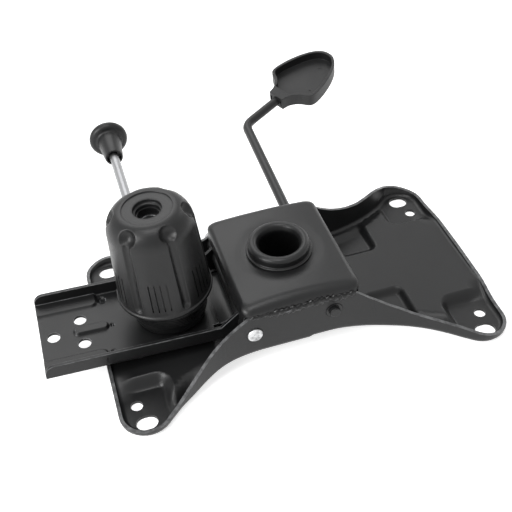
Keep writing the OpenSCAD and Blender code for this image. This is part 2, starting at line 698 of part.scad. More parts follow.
module hexagon(flats, h) cylinder(d = flats / cos(30), h = h, $fn = 6);
module tension_bolt() color(plated) on_bolt() {
    translate([0, 0, bolt_washer_top - bolt_washer_t - bolt_head_t]) hexagon(bolt_head_af, bolt_head_t);
    translate([0, 0, bolt_washer_top - bolt_washer_t]) cylinder(r = bolt_r,
        h = bolt_tip - bolt_washer_top + bolt_washer_t - 1);
    translate([0, 0, bolt_tip - 1]) cylinder(r1 = bolt_r, r2 = bolt_r - 1, h = 1);
}
module bolt_washer() color(plated) on_bolt() translate([0, 0, bolt_washer_top - bolt_washer_t])
    difference() {
        cylinder(r = bolt_washer_r, h = bolt_washer_t);
        translate([0, 0, -over]) cylinder(r = bolt_r + washer_slack, h = bolt_washer_t + 2 * over);
    }
module tension_spring() color(bare) on_bolt() translate([0, 0, spring_low])
    polyhedron(points = coil_points, faces = coil_faces);
module thrust_washer() color(plated) on_bolt() translate([0, 0, washer_z]) difference() {
    cylinder(r = washer_r, h = washer_t);
    translate([0, 0, -over]) cylinder(r = bolt_r + 0.4, h = washer_t + 2 * over);
}
module knob_insert() color(plated) on_bolt() translate([0, 0, knob_z]) difference() {
    hexagon(insert_af, insert_t);
    translate([0, 0, -over]) cylinder(r = bolt_r + run, h = insert_t + 2 * over);
}
module tension_knob() color(plastic) on_bolt() translate([0, 0, knob_z]) difference() {
    shoulder_h = knob_head - shoulder_start;
    rotate_extrude() polygon(concat(
        [[0, -knob_depth], [rim_r, -knob_depth], [rim_r, rim_t - knob_depth], [knob_r, rim_t - knob_depth]],
        [for (i = [0:8]) let(a = 90 * i / 8) [plateau_r + (knob_top_r - plateau_r) * cos(a),
            shoulder_start + shoulder_h * sin(a)]], [[0, knob_head]]));
    rotate_extrude() polygon([[0, -knob_depth - over], [knob_r - 1.8, -knob_depth - over],
        [knob_r - 1.8, 4.5 - knob_depth], [knob_r - 3.4, 8.5 - knob_depth],
        [washer_r + 2.5, -4], [washer_r + 1, 0], [0, 0]]);
    translate([0, 0, -over]) hexagon(insert_af, insert_t + over);
    cylinder(r = knob_bore_r, h = far_away);
    translate([0, 0, knob_head - counterbore_t]) cylinder(r = counterbore_r, h = far_away);
    for (i = [0:dimples - 1]) rotate([0, 0, dimple_turn + 360 * i / dimples]) {
        translate([plateau_r + 9, 0, knob_head - 2]) sphere(r = dimple_r);
        translate([knob_wall(7.5 - knob_depth) + groove_w / 2 - groove_depth, 0, 7.5 - knob_depth]) {
            sphere(d = groove_w);
            rotate([0, -knob_slope, 0]) cylinder(d = groove_w, h = knob_depth + knob_head - groove_ends);
        }
        rotate([0, 0, 180 / dimples]) for (k = [0:slits - 1])
            translate([knob_wall(slit_low - knob_depth) - 0.8, slit_step * (k - (slits - 1) / 2) - slit_w / 2,
                slit_low - knob_depth]) rotate([0, -knob_slope, 0]) cube([4, slit_w, slit_len]);
    }
}

// The bend is a hair thicker than the rod, and the straight stretches reach a little into it
module gas_lever_rod() color(coat) on_lever() {
    lap = 0.3;
    bar_y(rod_tip, bend_start + lap, rod_r);
    rotate([0, -bend_roll, 0]) translate([0, bend_start, 0]) {
        translate([bend_r, 0, 0]) rotate([0, 0, 180 - bend_angle])
            rotate_extrude(angle = bend_angle) translate([bend_r, 0]) circle(r = rod_r + seat);
        translate([bend_r * (1 - cos(bend_angle)), bend_r * sin(bend_angle), 0]) rotate([0, 0, -bend_angle])
            bar_y(-lap, arm_len - bend_r * tan(bend_angle / 2) + arm_in, rod_r);
    }
}
// Outline of the paddle's hollow: the same curve, drawn in by the wall
module paddle_hollow() intersection() {
    polygon([for (p = through(paddle_ctrl)) let(
        mid = paddle_len * 0.52, d = [p.x - mid, p.y], k = 1 - paddle_wall / norm(d) * 1.25)
        [mid + d.x * k, d.y * k]]);
    translate([neck_len, -paddle_w]) square([paddle_len, 2 * paddle_w]);
}
module lever_paddle() color(plastic) on_arm() difference() {
    translate([0, 0, -paddle_t / 2]) linear_extrude(paddle_t) polygon(through(paddle_ctrl));
    translate([0, 0, paddle_floor - paddle_t / 2]) linear_extrude(paddle_t) paddle_hollow();
    translate([-over, 0, 0]) rotate([0, 90, 0]) cylinder(r = rod_r + seat, h = arm_in + seat + over);
    for (s = [-1, 1]) translate([-over, s * (rod_r + neck_w / 2) / 2 - 0.8, -3]) cube([over + 2.5, 1.6, 6]);
}
// Tab under the socket: it turns with the rod and presses the gas lift's button
module trigger_tab() color(coat) on_lever() difference() {
    union() {
        translate([-tab_back, -tab_w / 2, -tab_low]) cube([tab_back + tab_front, tab_w, tab_t]);
        translate([-web_t / 2, -tab_w / 2, -tab_low]) cube([web_t, tab_w, tab_low - rod_r + 0.6]);
    }
    bar_y(-tab_w, tab_w, rod_r + seat);
}
module lever_bush(s) color(plastic) difference() {
    translate([lever_at(s * waist_y), 0, lever_z]) mirror([0, (1 - s) / 2, 0]) {
        bar_y(wall_in - flange_t - run, wall_in - run, flange_r);
        bar_y(wall_in - run, waist_y + 0.3, bush_r);
    }
    on_lever() bar_y(-waist_w, waist_w, rod_r + run);
}
module lever_bush_near() lever_bush(-1);
module lever_bush_far() lever_bush(1);
module lever_clip() color(bare) on_lever() translate([0, -wall_in + flange_t + 0.8, 0])
    ring_y(0, clip_t, rod_r + seat, rod_r + 3);

module lock_rod() color(plated) on_lock() {
    translate([0, lock_tip, 0]) rotate([-90, 0, 0]) cylinder(r1 = lock_r - 1, r2 = lock_r, h = 1);
    bar_y(lock_tip + 1, knob_foot + lock_recess + lock_in, lock_r);
}
module lock_knob() color(plastic) on_lock() translate([0, knob_foot, 0]) rotate([-90, 0, 0])
    difference() {
        rotate_extrude() polygon(concat(
            [[0, 0], [stem_r - 0.8, 0], [stem_r, 0.8], [stem_root_r, stem_len - 2],
                [lock_knob_r - 3, stem_len + 0.5]],
            [for (i = [0:4]) let(a = -60 + 60 * i / 4)
                [lock_knob_r - 3.5, stem_len + disc_t / 2] + 3.5 * [cos(a), sin(a)]],
            [for (i = [1:6]) let(a = 90 * i / 6)
                [(lock_knob_r) * cos(a), stem_len + disc_t / 2 + disc_t / 2 * sin(a)]]));
        translate([0, 0, -over]) cylinder(r = lock_r + seat, h = lock_recess + lock_in + seat + over);
        translate([0, 0, -over]) cylinder(r = lock_recess_r, h = lock_recess + over);
    }
// Guide of the lock rod: two ears on a foot, fixed to the panel
module lock_guide() color(coat) difference() {
    union() {
        for (y = [guide_near, guide_far]) translate([0, y, 0]) {
            on_lock() bar_y(0, ear_t, guide_r);
            translate([lock_x - guide_r, 0, panel_top]) cube([2 * guide_r, ear_t, lock_z - panel_top]);
        }
        translate([lock_x - guide_r, guide_near, panel_top])
            cube([2 * guide_r + guide_foot, guide_far - guide_near + ear_t, ear_t]);
    }
    on_lock() bar_y(0, waist_w, lock_r + run);
}
module lock_clip() color(bare) on_lock()
    ring_y(lock_clip_y, lock_clip_y + clip_t, lock_r + seat, lock_r + 3);

seat_plate();
column_housing();
taper_socket();
housing_welds();
pivot_pin();
pivot_circlip();
pivot_bush_near();
pivot_bush_far();
back_bracket();
pivot_sleeve();
spring_cup();
rest_pads();
tension_bolt();
bolt_washer();
tension_spring();
thrust_washer();
knob_insert();
tension_knob();
gas_lever_rod();
lever_paddle();
trigger_tab();
lever_bush_near();
lever_bush_far();
lever_clip();
lock_rod();
lock_knob();
lock_guide();
lock_clip();
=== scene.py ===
# Push back mechanism of an office chair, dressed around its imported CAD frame.
# Pieces are shaped in millimetres, then set in place and brought to metres as they are finished.
import math

import bmesh
import bpy
from mathutils import Matrix, Vector, noise


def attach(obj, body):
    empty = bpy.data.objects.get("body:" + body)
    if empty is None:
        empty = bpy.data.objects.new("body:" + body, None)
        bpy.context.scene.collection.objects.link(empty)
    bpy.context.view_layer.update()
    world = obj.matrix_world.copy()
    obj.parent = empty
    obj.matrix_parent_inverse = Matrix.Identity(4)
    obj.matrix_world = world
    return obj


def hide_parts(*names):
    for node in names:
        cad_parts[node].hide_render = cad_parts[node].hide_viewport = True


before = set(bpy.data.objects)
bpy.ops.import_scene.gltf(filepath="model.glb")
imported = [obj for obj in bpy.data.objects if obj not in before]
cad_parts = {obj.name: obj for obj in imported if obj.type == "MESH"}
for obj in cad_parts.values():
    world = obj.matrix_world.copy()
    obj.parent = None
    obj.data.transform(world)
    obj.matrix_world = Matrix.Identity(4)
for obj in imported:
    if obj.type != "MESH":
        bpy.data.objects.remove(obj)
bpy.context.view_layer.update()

metre = Matrix.Scale(0.001, 4)


def turn(axis, degrees):
    return Matrix.Rotation(math.radians(degrees), 4, axis)


def shift(x, y, z):
    return Matrix.Translation((x, y, z))


# Where the moving pieces stand at rest, as in the part's source
places = dict(pivotX=-40, pivotZ=31.5, restTilt=2.5, boltX=-88.454, boltZ=10.5, boltLean=2.4,
    leverX=19.6, leverZ=35, leverSkew=1.7, armFoot=189.083, armTurn=28.2, armRise=10.5, armRoll=7.7,
    armLong=39.2, lockX=-95, lockZ=25.5)
alongY = turn("X", -90)
onPivot = shift(places["pivotX"], 0, places["pivotZ"]) @ turn("Y", places["restTilt"])
onBolt = shift(places["boltX"], 0, places["boltZ"]) @ turn("Y", -places["boltLean"])
onLever = shift(places["leverX"], 0, places["leverZ"]) @ turn("Z", -places["leverSkew"])
onArm = (onLever @ shift(0, places["armFoot"], 0) @ turn("Z", places["armTurn"])
    @ turn("Y", -places["armRise"]) @ turn("X", places["armRoll"]) @ shift(places["armLong"], 0, 0))
onLock = shift(places["lockX"], 0, places["lockZ"])


# Looks
class Term:
    # A socket that takes part in sums
    def __init__(self, look, socket):
        self.look, self.socket = look, socket

    def maths(self, operation, a, b):
        return self.look.add("ShaderNodeMath", {"operation": operation}, {0: a, 1: b})

    def __add__(self, other): return self.maths("ADD", self, other)
    def __radd__(self, other): return self.maths("ADD", other, self)
    def __mul__(self, other): return self.maths("MULTIPLY", self, other)
    def __rmul__(self, other): return self.maths("MULTIPLY", other, self)


class Look:
    # A material, its node tree and the one method that adds nodes to it
    def __init__(self, name, fixed):
        self.material = bpy.data.materials.new(name)
        self.material.use_nodes = True
        self.tree = self.material.node_tree
        self.shader = self.tree.nodes["Principled BSDF"]
        for socket, value in fixed.items():
            self.shader.inputs[socket].default_value = value
        self.place = self.add("ShaderNodeTexCoord", {}, {}, "Object")

    def add(self, kind, settings, sockets, out=0):
        node = self.tree.nodes.new(kind)
        stops = settings.pop("stops", None)
        for key, value in settings.items():
            setattr(node, key, value)
        if stops:
            ramp = node.color_ramp
            while len(ramp.elements) < len(stops):
                ramp.elements.new(0.5)
            for element, (spot, shade) in zip(ramp.elements, stops):
                element.position, element.color = spot, (shade, shade, shade, 1)
        for key, value in sockets.items():
            if isinstance(value, Term):
                self.tree.links.new(value.socket, node.inputs[key])
            else:
                node.inputs[key].default_value = value
        return Term(self, node.outputs[out])

    def grain(self, scale, detail=3.0, rough=0.55, place=None):
        return self.add("ShaderNodeTexNoise", {}, {"Vector": place or self.place, "Scale": scale,
            "Detail": detail, "Roughness": rough})

    def stretched(self, x, y, z):
        return self.add("ShaderNodeMapping", {}, {"Vector": self.place, "Scale": (x, y, z)})

    def ramp(self, value, *stops):
        return self.add("ShaderNodeValToRGB", {"stops": stops}, {"Fac": value})

    def blend(self, share, a, b):
        return self.add("ShaderNodeMix", {"data_type": "RGBA"}, {0: share, 6: (*a, 1), 7: (*b, 1)}, 2)

    def wear(self, colour=None, roughness=None, metal=None, height=None, depth=0.0001):
        for socket, value in (("Base Color", colour), ("Roughness", roughness), ("Metallic", metal)):
            if value is not None:
                self.tree.links.new(value.socket, self.shader.inputs[socket])
        if height is not None:
            bump = self.add("ShaderNodeBump", {}, {"Height": height, "Distance": depth, "Strength": 1.0})
            self.tree.links.new(bump.socket, self.shader.inputs["Normal"])
        return self.material


def powderCoat(name="powderCoat", shade=1.0):
    # Satin black powder coat: a fine orange peel, cloudy gloss, and a thin paler line along cut edges
    look = Look(name, {"Specular IOR Level": 0.34})
    peel = look.grain(1150, 2.0)
    fine = look.grain(3400, 1.0)
    cloud = look.grain(22, 3.0)
    edge = look.add("ShaderNodeAttribute", {"attribute_name": "cutEdge"}, {}, 2)
    paleLine = edge * look.ramp(look.grain(240, 3.0), (0.38, 0.35), (0.6, 1.0))
    dark = [0.0056 * shade, 0.0057 * shade, 0.0060 * shade]
    pale = [0.0106 * shade, 0.0109 * shade, 0.0113 * shade]
    ground = look.blend(cloud * 0.6 + fine * 0.4, dark, pale)
    colour = look.add("ShaderNodeMix", {"data_type": "RGBA"},
        {0: paleLine, 6: ground, 7: (0.13, 0.132, 0.135, 1)}, 2)
    return look.wear(colour=colour, roughness=look.ramp(cloud, (0.2, 0.34), (0.8, 0.44)),
        height=peel * 0.7 + fine * 0.3, depth=0.00007)


def mouldedPlastic():
    # Black moulded plastic with a spark-eroded grain
    look = Look("mouldedPlastic", {"Specular IOR Level": 0.34})
    grain = look.grain(2600, 3.0, 0.6)
    cloud = look.grain(30, 2.0)
    return look.wear(
        colour=look.blend(cloud * 0.5 + grain * 0.5, (0.0050, 0.0051, 0.0053), (0.0105, 0.0107, 0.0110)),
        roughness=look.ramp(cloud, (0.2, 0.30), (0.8, 0.39)), height=grain, depth=0.00008)


def paddlePlastic():
    # The paddle's plastic is a shade duller than the knob's
    look = Look("paddlePlastic", {"Specular IOR Level": 0.34})
    grain = look.grain(2100, 3.0, 0.6)
    cloud = look.grain(40, 2.0)
    return look.wear(
        colour=look.blend(cloud * 0.5 + grain * 0.5, (0.0070, 0.0071, 0.0074), (0.0135, 0.0137, 0.0141)),
        roughness=look.ramp(cloud, (0.2, 0.40), (0.8, 0.50)), height=grain, depth=0.00009)


def brightSteel():
    # Drawn and plated bar: faint lines round it and soft blotches in the zinc
    look = Look("brightSteel", {})
    lines = look.grain(1.0, 2.0, place=look.stretched(260, 3200, 260))
    blotch = look.grain(90, 3.0)
    return look.wear(
        colour=look.blend(blotch, (0.27, 0.273, 0.28), (0.40, 0.403, 0.41)),
        roughness=look.ramp(blotch, (0.25, 0.34), (0.75, 0.46)),
        metal=look.ramp(lines, (0.0, 0.96), (1.0, 1.0)), height=lines, depth=0.00003)


def darkSteel():
    # Phosphated bolt and sleeve: nearly black, with a faint oily sheen
    look = Look("darkSteel", {})
    oil = look.grain(160, 3.0)
    return look.wear(
        colour=look.blend(oil, (0.022, 0.0222, 0.0226), (0.055, 0.0555, 0.056)),
        roughness=look.ramp(oil, (0.2, 0.36), (0.8, 0.55)), metal=look.ramp(oil, (0.2, 0.6), (0.7, 0.85)),
        height=look.grain(1400, 3.0), depth=0.00004)


def peenedSteel():
    # Hammered pin end: soft dents that catch the light
    look = Look("peenedSteel", {})
    hit = look.grain(230, 2.0, 0.5)
    dirt = look.grain(230, 2.0)
    return look.wear(
        colour=look.blend(look.ramp(dirt, (0.36, 0.0), (0.52, 1.0)),
            (0.30, 0.303, 0.308), (0.62, 0.625, 0.63)),
        roughness=look.ramp(hit, (0.3, 0.24), (0.7, 0.42)),
        metal=look.ramp(dirt, (0.3, 0.85), (0.5, 1.0)), height=hit, depth=0.00012)


def springSteel():
    # Oiled spring wire and pressed clips
    look = Look("springSteel", {})
    oil = look.grain(120, 3.0)
    scale = look.grain(1500, 3.0)
    return look.wear(
        colour=look.blend(oil, (0.12, 0.122, 0.128), (0.25, 0.252, 0.258)),
        roughness=look.ramp(oil, (0.2, 0.28), (0.8, 0.46)),
        metal=look.ramp(scale, (0.2, 0.9), (0.6, 1.0)), height=scale, depth=0.00003)


def weldMetal():
    # Painted weld: glossy coat over ripples, with a few bright metallic lines painted along it as highlights
    look = Look("weldMetal", {"Specular IOR Level": 0.28})
    lump = look.grain(260, 2.0, 0.5)
    drawn = look.grain(1.0, 2.0, 0.5, look.stretched(170, 520, 520))
    highlightStreak = look.ramp(drawn, (0.62, 0.0), (0.70, 1.0))
    return look.wear(
        colour=look.blend(highlightStreak, (0.0035, 0.0035, 0.0037), (0.10, 0.10, 0.103)),
        roughness=look.ramp(lump, (0.3, 0.26), (0.7, 0.44)), metal=highlightStreak * 0.8, height=lump, depth=0.0004)


def bumperRubber():
    look = Look("bumperRubber", {"Specular IOR Level": 0.3})
    bloom = look.grain(160, 4.0)
    return look.wear(
        colour=look.blend(bloom, (0.010, 0.010, 0.0105), (0.024, 0.024, 0.0245)),
        roughness=look.ramp(bloom, (0.2, 0.68), (0.8, 0.86)), height=look.grain(1900, 3.0), depth=0.00006)


def threadedSteel():
    # Plated bolt: its thread runs round the leaning axis
    look = Look("threadedSteel", {})
    lean = look.add("ShaderNodeMapping", {},
        {"Vector": look.place, "Rotation": (0, math.radians(places["boltLean"]), 0)})
    thread = look.add("ShaderNodeTexWave",
        {"wave_type": "BANDS", "bands_direction": "Z", "wave_profile": "TRI"},
        {"Vector": lean, "Scale": 175.0, "Distortion": 0.0}, 1)
    stain = look.grain(150, 3.0)
    return look.wear(
        colour=look.blend(stain, (0.030, 0.0303, 0.031), (0.075, 0.0755, 0.077)),
        roughness=look.ramp(stain, (0.2, 0.34), (0.8, 0.52)),
        metal=look.ramp(stain, (0.2, 0.75), (0.7, 0.95)), height=thread, depth=0.0009)


# The second coat is the same coat darkened, painted shade for the socket's bore
coat, paintedBoreShade = powderCoat(), powderCoat("paintedBoreShade", 0.35)
plastic, leafPlastic = mouldedPlastic(), paddlePlastic()
bright, dark, peened, wire = brightSteel(), darkSteel(), peenedSteel(), springSteel()
weld, rubber, thread = weldMetal(), bumperRubber(), threadedSteel()
print("looks ready")


# Ways of working
def smoothStep(value):
    value = min(1.0, max(0.0, value))
    return value * value * (3 - 2 * value)


def softMax(a, b, soft):
    return (a + b + math.sqrt((a - b) ** 2 + soft * soft)) / 2


def along(table, x):
    # Straight lines between a table's spots
    for (a, low), (b, high) in zip(table, table[1:]):
        if x <= b:
            return low + (high - low) * max(0.0, (x - a) / (b - a))
    return table[-1][1]


def easedAlong(table, x, width=5.0):
    # The same lines with their corners eased
    return sum(along(table, x + width * k / 4) for k in range(-4, 5)) / 9


def newest(result, kind, key="geom"):
    return [g for g in result[key] if isinstance(g, kind)]


def openEdges(edges):
    return [e for e in edges if len(e.link_faces) == 1]


def cutAcross(bm, way, spots):
    # Cut lines through a sheet, square to one direction
    for spot in spots:
        bmesh.ops.bisect_plane(bm, geom=bm.verts[:] + bm.edges[:] + bm.faces[:], dist=0.0001,
            plane_co=Vector(way) * spot, plane_no=way)


def evenly(start, step, count):
    return [start + k * step for k in range(count)]


def lathe(profile, steps=96, closed=True):
    # A profile of (radius, height) spun about Z
    bm = bmesh.new()
    spots = [bm.verts.new((r, 0, z)) for r, z in profile]
    edges = [bm.edges.new(pair) for pair in zip(spots, spots[1:])]
    if closed:
        edges.append(bm.edges.new((spots[-1], spots[0])))
    bmesh.ops.spin(bm, geom=spots + edges, cent=(0, 0, 0), axis=(0, 0, 1), angle=2 * math.pi,
        steps=steps, use_merge=True)
    bmesh.ops.remove_doubles(bm, verts=bm.verts, dist=0.0005)
    bmesh.ops.recalc_face_normals(bm, faces=bm.faces)
    return bm


def rounded(profile, radius, steps=3):
    # The same closed profile with its corners rounded
    out = []
    for i, here in enumerate(profile):
        spot, past, ahead = Vector(here), Vector(profile[i - 1]), Vector(profile[(i + 1) % len(profile)])
        a, b = past - spot, ahead - spot
        short = min(a.length, b.length) < 0.01
        if spot.x < 0.001 or short or abs(a.normalized().cross(b.normalized())) < 0.12:
            out.append(tuple(spot))
            continue
        reach = min(radius, a.length * 0.45, b.length * 0.45)
        a, b = spot + a.normalized() * reach, spot + b.normalized() * reach
        for k in range(steps + 1):
            t = k / steps
            out.append(tuple(a * (1 - t) ** 2 + spot * 2 * t * (1 - t) + b * t * t))
    return out


def arc(cx, cz, r, fromAngle, toAngle, steps):
    angles = [math.radians(fromAngle + (toAngle - fromAngle) * k / steps) for k in range(steps + 1)]
    return [(cx + r * math.cos(a), cz + r * math.sin(a)) for a in angles]


def gather(bm, part):
    # Adds one shaped part to another, and lets it go
    mesh = bpy.data.meshes.new("part")
    part.to_mesh(mesh)
    part.free()
    bm.from_mesh(mesh)
    bpy.data.meshes.remove(mesh)


def prism(points, low, high):
    # A flat outline raised between two heights
    bm = bmesh.new()
    face = bm.faces.new([bm.verts.new((x, y, low)) for x, y in points])
    raised = bmesh.ops.extrude_face_region(bm, geom=[face])
    bmesh.ops.translate(bm, verts=newest(raised, bmesh.types.BMVert), vec=(0, 0, high - low))
    bmesh.ops.recalc_face_normals(bm, faces=bm.faces)
    return bm


def roundEdges(bm, width, segments=2, limit=40, clamp=True):
    # The new faces are marked for the paler line along cut edges
    paleEdge = bm.faces.layers.float.get("cutEdge") or bm.faces.layers.float.new("cutEdge")
    edges = [e for e in bm.edges if len(e.link_faces) == 2
        and e.calc_face_angle(0) > math.radians(limit)]
    made = bmesh.ops.bevel(bm, geom=edges, offset=width, offset_type="OFFSET", affect="EDGES",
        segments=segments, profile=0.5, material=-1, clamp_overlap=clamp)
    for face in made["faces"]:
        face[paleEdge] = 1.0


def asObject(name, bm, place=Matrix.Identity(4)):
    bmesh.ops.transform(bm, matrix=place, verts=bm.verts)
    mesh = bpy.data.meshes.new(name)
    bm.to_mesh(mesh)
    bm.free()
    piece = bpy.data.objects.new(name, mesh)
    bpy.context.scene.collection.objects.link(piece)
    return piece


def settle(piece):
    # Works the modifiers into the mesh
    bpy.context.view_layer.update()
    done = bpy.data.meshes.new_from_object(piece.evaluated_get(bpy.context.evaluated_depsgraph_get()))
    piece.modifiers.clear()
    piece.data = done
    return piece


def carve(piece, cutter, operation="DIFFERENCE", solver="EXACT"):
    change = piece.modifiers.new("carve", "BOOLEAN")
    change.operation, change.object, change.solver = operation, cutter, solver
    settle(piece)
    bpy.data.objects.remove(cutter)
    return piece


def thicken(piece, thickness):
    wall = piece.modifiers.new("sheet", "SOLIDIFY")
    wall.thickness, wall.offset = thickness, -1
    wall.use_even_offset = wall.use_quality_normals = True
    return settle(piece)


def edged(piece, width, segments=2, limit=40, merge=0.01, clamp=True):
    # Merges what lies together, joins flat faces and rounds the sharp edges
    bm = bmesh.new()
    bm.from_mesh(piece.data)
    bmesh.ops.remove_doubles(bm, verts=bm.verts, dist=merge)
    bmesh.ops.dissolve_limit(bm, angle_limit=math.radians(0.5), verts=bm.verts, edges=bm.edges,
        use_dissolve_boundaries=False)
    roundEdges(bm, width, segments, limit, clamp)
    bm.to_mesh(piece.data)
    bm.free()
    return piece


def dress(piece, body, look, nodes, sharp=32):
    # The finished piece in metres, riding on its body in place of its CAD nodes
    piece.data.transform(metre)
    piece.data.shade_smooth()
    piece.data.set_sharp_from_angle(angle=math.radians(sharp))
    even = piece.modifiers.new("even", "WEIGHTED_NORMAL")
    even.keep_sharp = True
    settle(piece)
    piece.data.materials.clear()
    piece.data.materials.append(look)
    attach(piece, body)
    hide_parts(*nodes)
    print("made", piece.name, len(piece.data.polygons))
    return piece


def drills(name, spots, radius, low, high, place=Matrix.Identity(4)):
    # Round bars that cut holes when they are carved away
    bm = bmesh.new()
    for x, y in spots:
        bmesh.ops.create_cone(bm, cap_ends=True, segments=48, radius1=radius, radius2=radius,
            depth=high - low, matrix=shift(x, y, (low + high) / 2))
    return asObject(name, bm, place)


# Seat plate
plate = dict(cornerX=123.5, cornerY=70, cornerRadius=19, waistY=51, waistFront=22, waistBack=32,
    sheet=2.5, bend=3.0, rimSpare=0.5, rimPale=1.0, panelTop=10.5, padTop=2.5, padX=101, padY=42,
    padRun=8.0, padCorner=12.0, pocketX=67.5, pocketHalf=10.5, pocketIn=27, pocketRun=6.3,
    pocketDepth=4.5, pocketCorner=8.0, endFrom=34, endRun=24, sideReach=17, sideRun=12,
    slotX=125, slotY=77, slotHalf=1.5, slotRadius=6, holeX=129, holeY=61, holeRadius=4.25,
    pinHole=5.9, leverHole=6.3, boltHole=6.6, floorCut=(-6, 12), boltCut=(-4, 16), wallCut=60, edge=0.5,
    cornerSteps=12, flankSteps=36, lines=11, lineLead=0.4, lineStep=0.9, gridX=135, gridY=84, gridStep=3,
    # How far out and up the wall's bend goes, step by step
    bendSteps=[(1.15, 0.23), (2.12, 0.88), (2.77, 1.85), (3.0, 3.0)],
    # Height of the panel along the walls, by the distance from the middle
    floorFront=[(20, 14.2), (30, 12.8), (45, 10.7), (59, 8.6), (79, 6.7), (92, 5.0), (104, 2.8),
        (109, 2.5)],
    floorBack=[(60, 13.0), (71, 11.2), (81, 7.8), (92, 3.7), (98, 2.7), (103, 2.5)],
    # Height of the walls' tops along the four flanks, and along the near and far halves of the ends
    nearFront=[(33, 48), (45, 38.6), (58, 30), (75, 20.8), (85, 17.2), (97, 14.2), (107, 12.6),
        (114, 11.4), (123, 9), (132, 7.2)],
    farFront=[(35, 48), (44, 40), (55, 33.6), (63, 30.1), (71, 27.2), (82, 24.6), (100, 23.4),
        (107, 21), (114, 16.6), (120, 13.6), (129, 10.7), (139, 8.6)],
    nearBack=[(42, 48), (48.5, 44.7), (60, 38.4), (70, 32), (77, 26.4), (83.5, 20.6), (92, 14.3),
        (98, 10.4), (104, 7.6), (113, 6.8)],
    farBack=[(41, 48), (45, 39.4), (48, 37), (60, 31.5), (70, 27), (83, 20.6), (92, 14.6),
        (104, 10.5), (115, 9.5), (125, 9), (135, 8)],
    nearEnd=[(0, 12.7), (26, 12.0), (35, 11.8), (43, 10.5), (49, 8.4), (57, 7.0), (74, 6.9)],
    farEnd=[(0, 12.7), (30, 12.5), (40, 11.8), (48, 10.5), (61, 8.5), (74, 7.8)])


def waistArc(waist):
    # Radius of the hollow arc from the waist to a corner, and the angle at which the two meet
    p = plate
    dx, h, r = p["cornerX"] - waist, p["cornerY"] - p["waistY"], p["cornerRadius"]
    wide = (dx * dx + h * h - r * r) / (2 * (h + r))
    return wide, math.atan2(p["waistY"] + wide - p["cornerY"], -dx)


def plateEdge(x):
    # Half the plate's width at a place along it
    p = plate
    waist, r = p["waistFront"] if x > 0 else p["waistBack"], p["cornerRadius"]
    wide, meet = waistArc(waist)
    if abs(x) < waist:
        return p["waistY"]
    if abs(x) < p["cornerX"] + r * math.cos(meet):
        return p["waistY"] + wide - math.sqrt(wide * wide - (abs(x) - waist) ** 2)
    return p["cornerY"] + math.sqrt(max(0, r * r - (abs(x) - p["cornerX"]) ** 2))


def plateHeight(x, y):
    # Upper face of the pressed panel: four pads and two pockets sink into it, and it keeps to the walls
    p = plate
    gap = min(p["cornerX"] + p["cornerRadius"] - abs(x), plateEdge(x) - abs(y))
    dx, dy = abs(x) - p["padX"], abs(y) - p["padY"]
    r = p["padCorner"]
    inside = min(dx, dy, r - math.hypot(max(r - dx, 0), max(r - dy, 0))) if min(dx, dy) > 0 else 0
    z = p["panelTop"] - (p["panelTop"] - p["padTop"]) * smoothStep(inside / p["padRun"])
    px = p["pocketHalf"] + p["pocketRun"] - abs(x - p["pocketX"])
    py = abs(y) - p["pocketIn"] + p["pocketRun"]
    if min(px, py) > 0:
        r = p["pocketCorner"]
        inside = min(px, py, r - math.hypot(max(r - px, 0), max(r - py, 0)))
        fade = smoothStep((gap - 6) / 5)  # Pockets end before the wall
        z -= p["pocketDepth"] * smoothStep(inside / p["pocketRun"]) * fade
    flank = easedAlong(p["floorFront"] if x > 0 else p["floorBack"], abs(x))
    end = p["panelTop"] - (p["panelTop"] - p["padTop"]) * smoothStep((abs(y) - p["endFrom"]) / p["endRun"])
    return z + (softMax(flank, end, 1.0) - z) * smoothStep((p["sideReach"] - gap) / p["sideRun"])


def rimHeight(x, y):
    # Top of the wall: flat at the waist, falling along the flanks to the lip
    p = plate
    side = "near" if y < 0 else "far"
    flank = easedAlong(p[side + ("Front" if x > 0 else "Back")], abs(x), 2.5)
    end = easedAlong(p[side + "End"], abs(y))
    out, up = abs(x) - p["cornerX"], abs(y) - p["cornerY"]
    share = 1.0 if out <= 0 else 0.0 if up <= 0 else math.atan2(up, out) / (math.pi / 2)
    return end + (flank - end) * smoothStep(share)


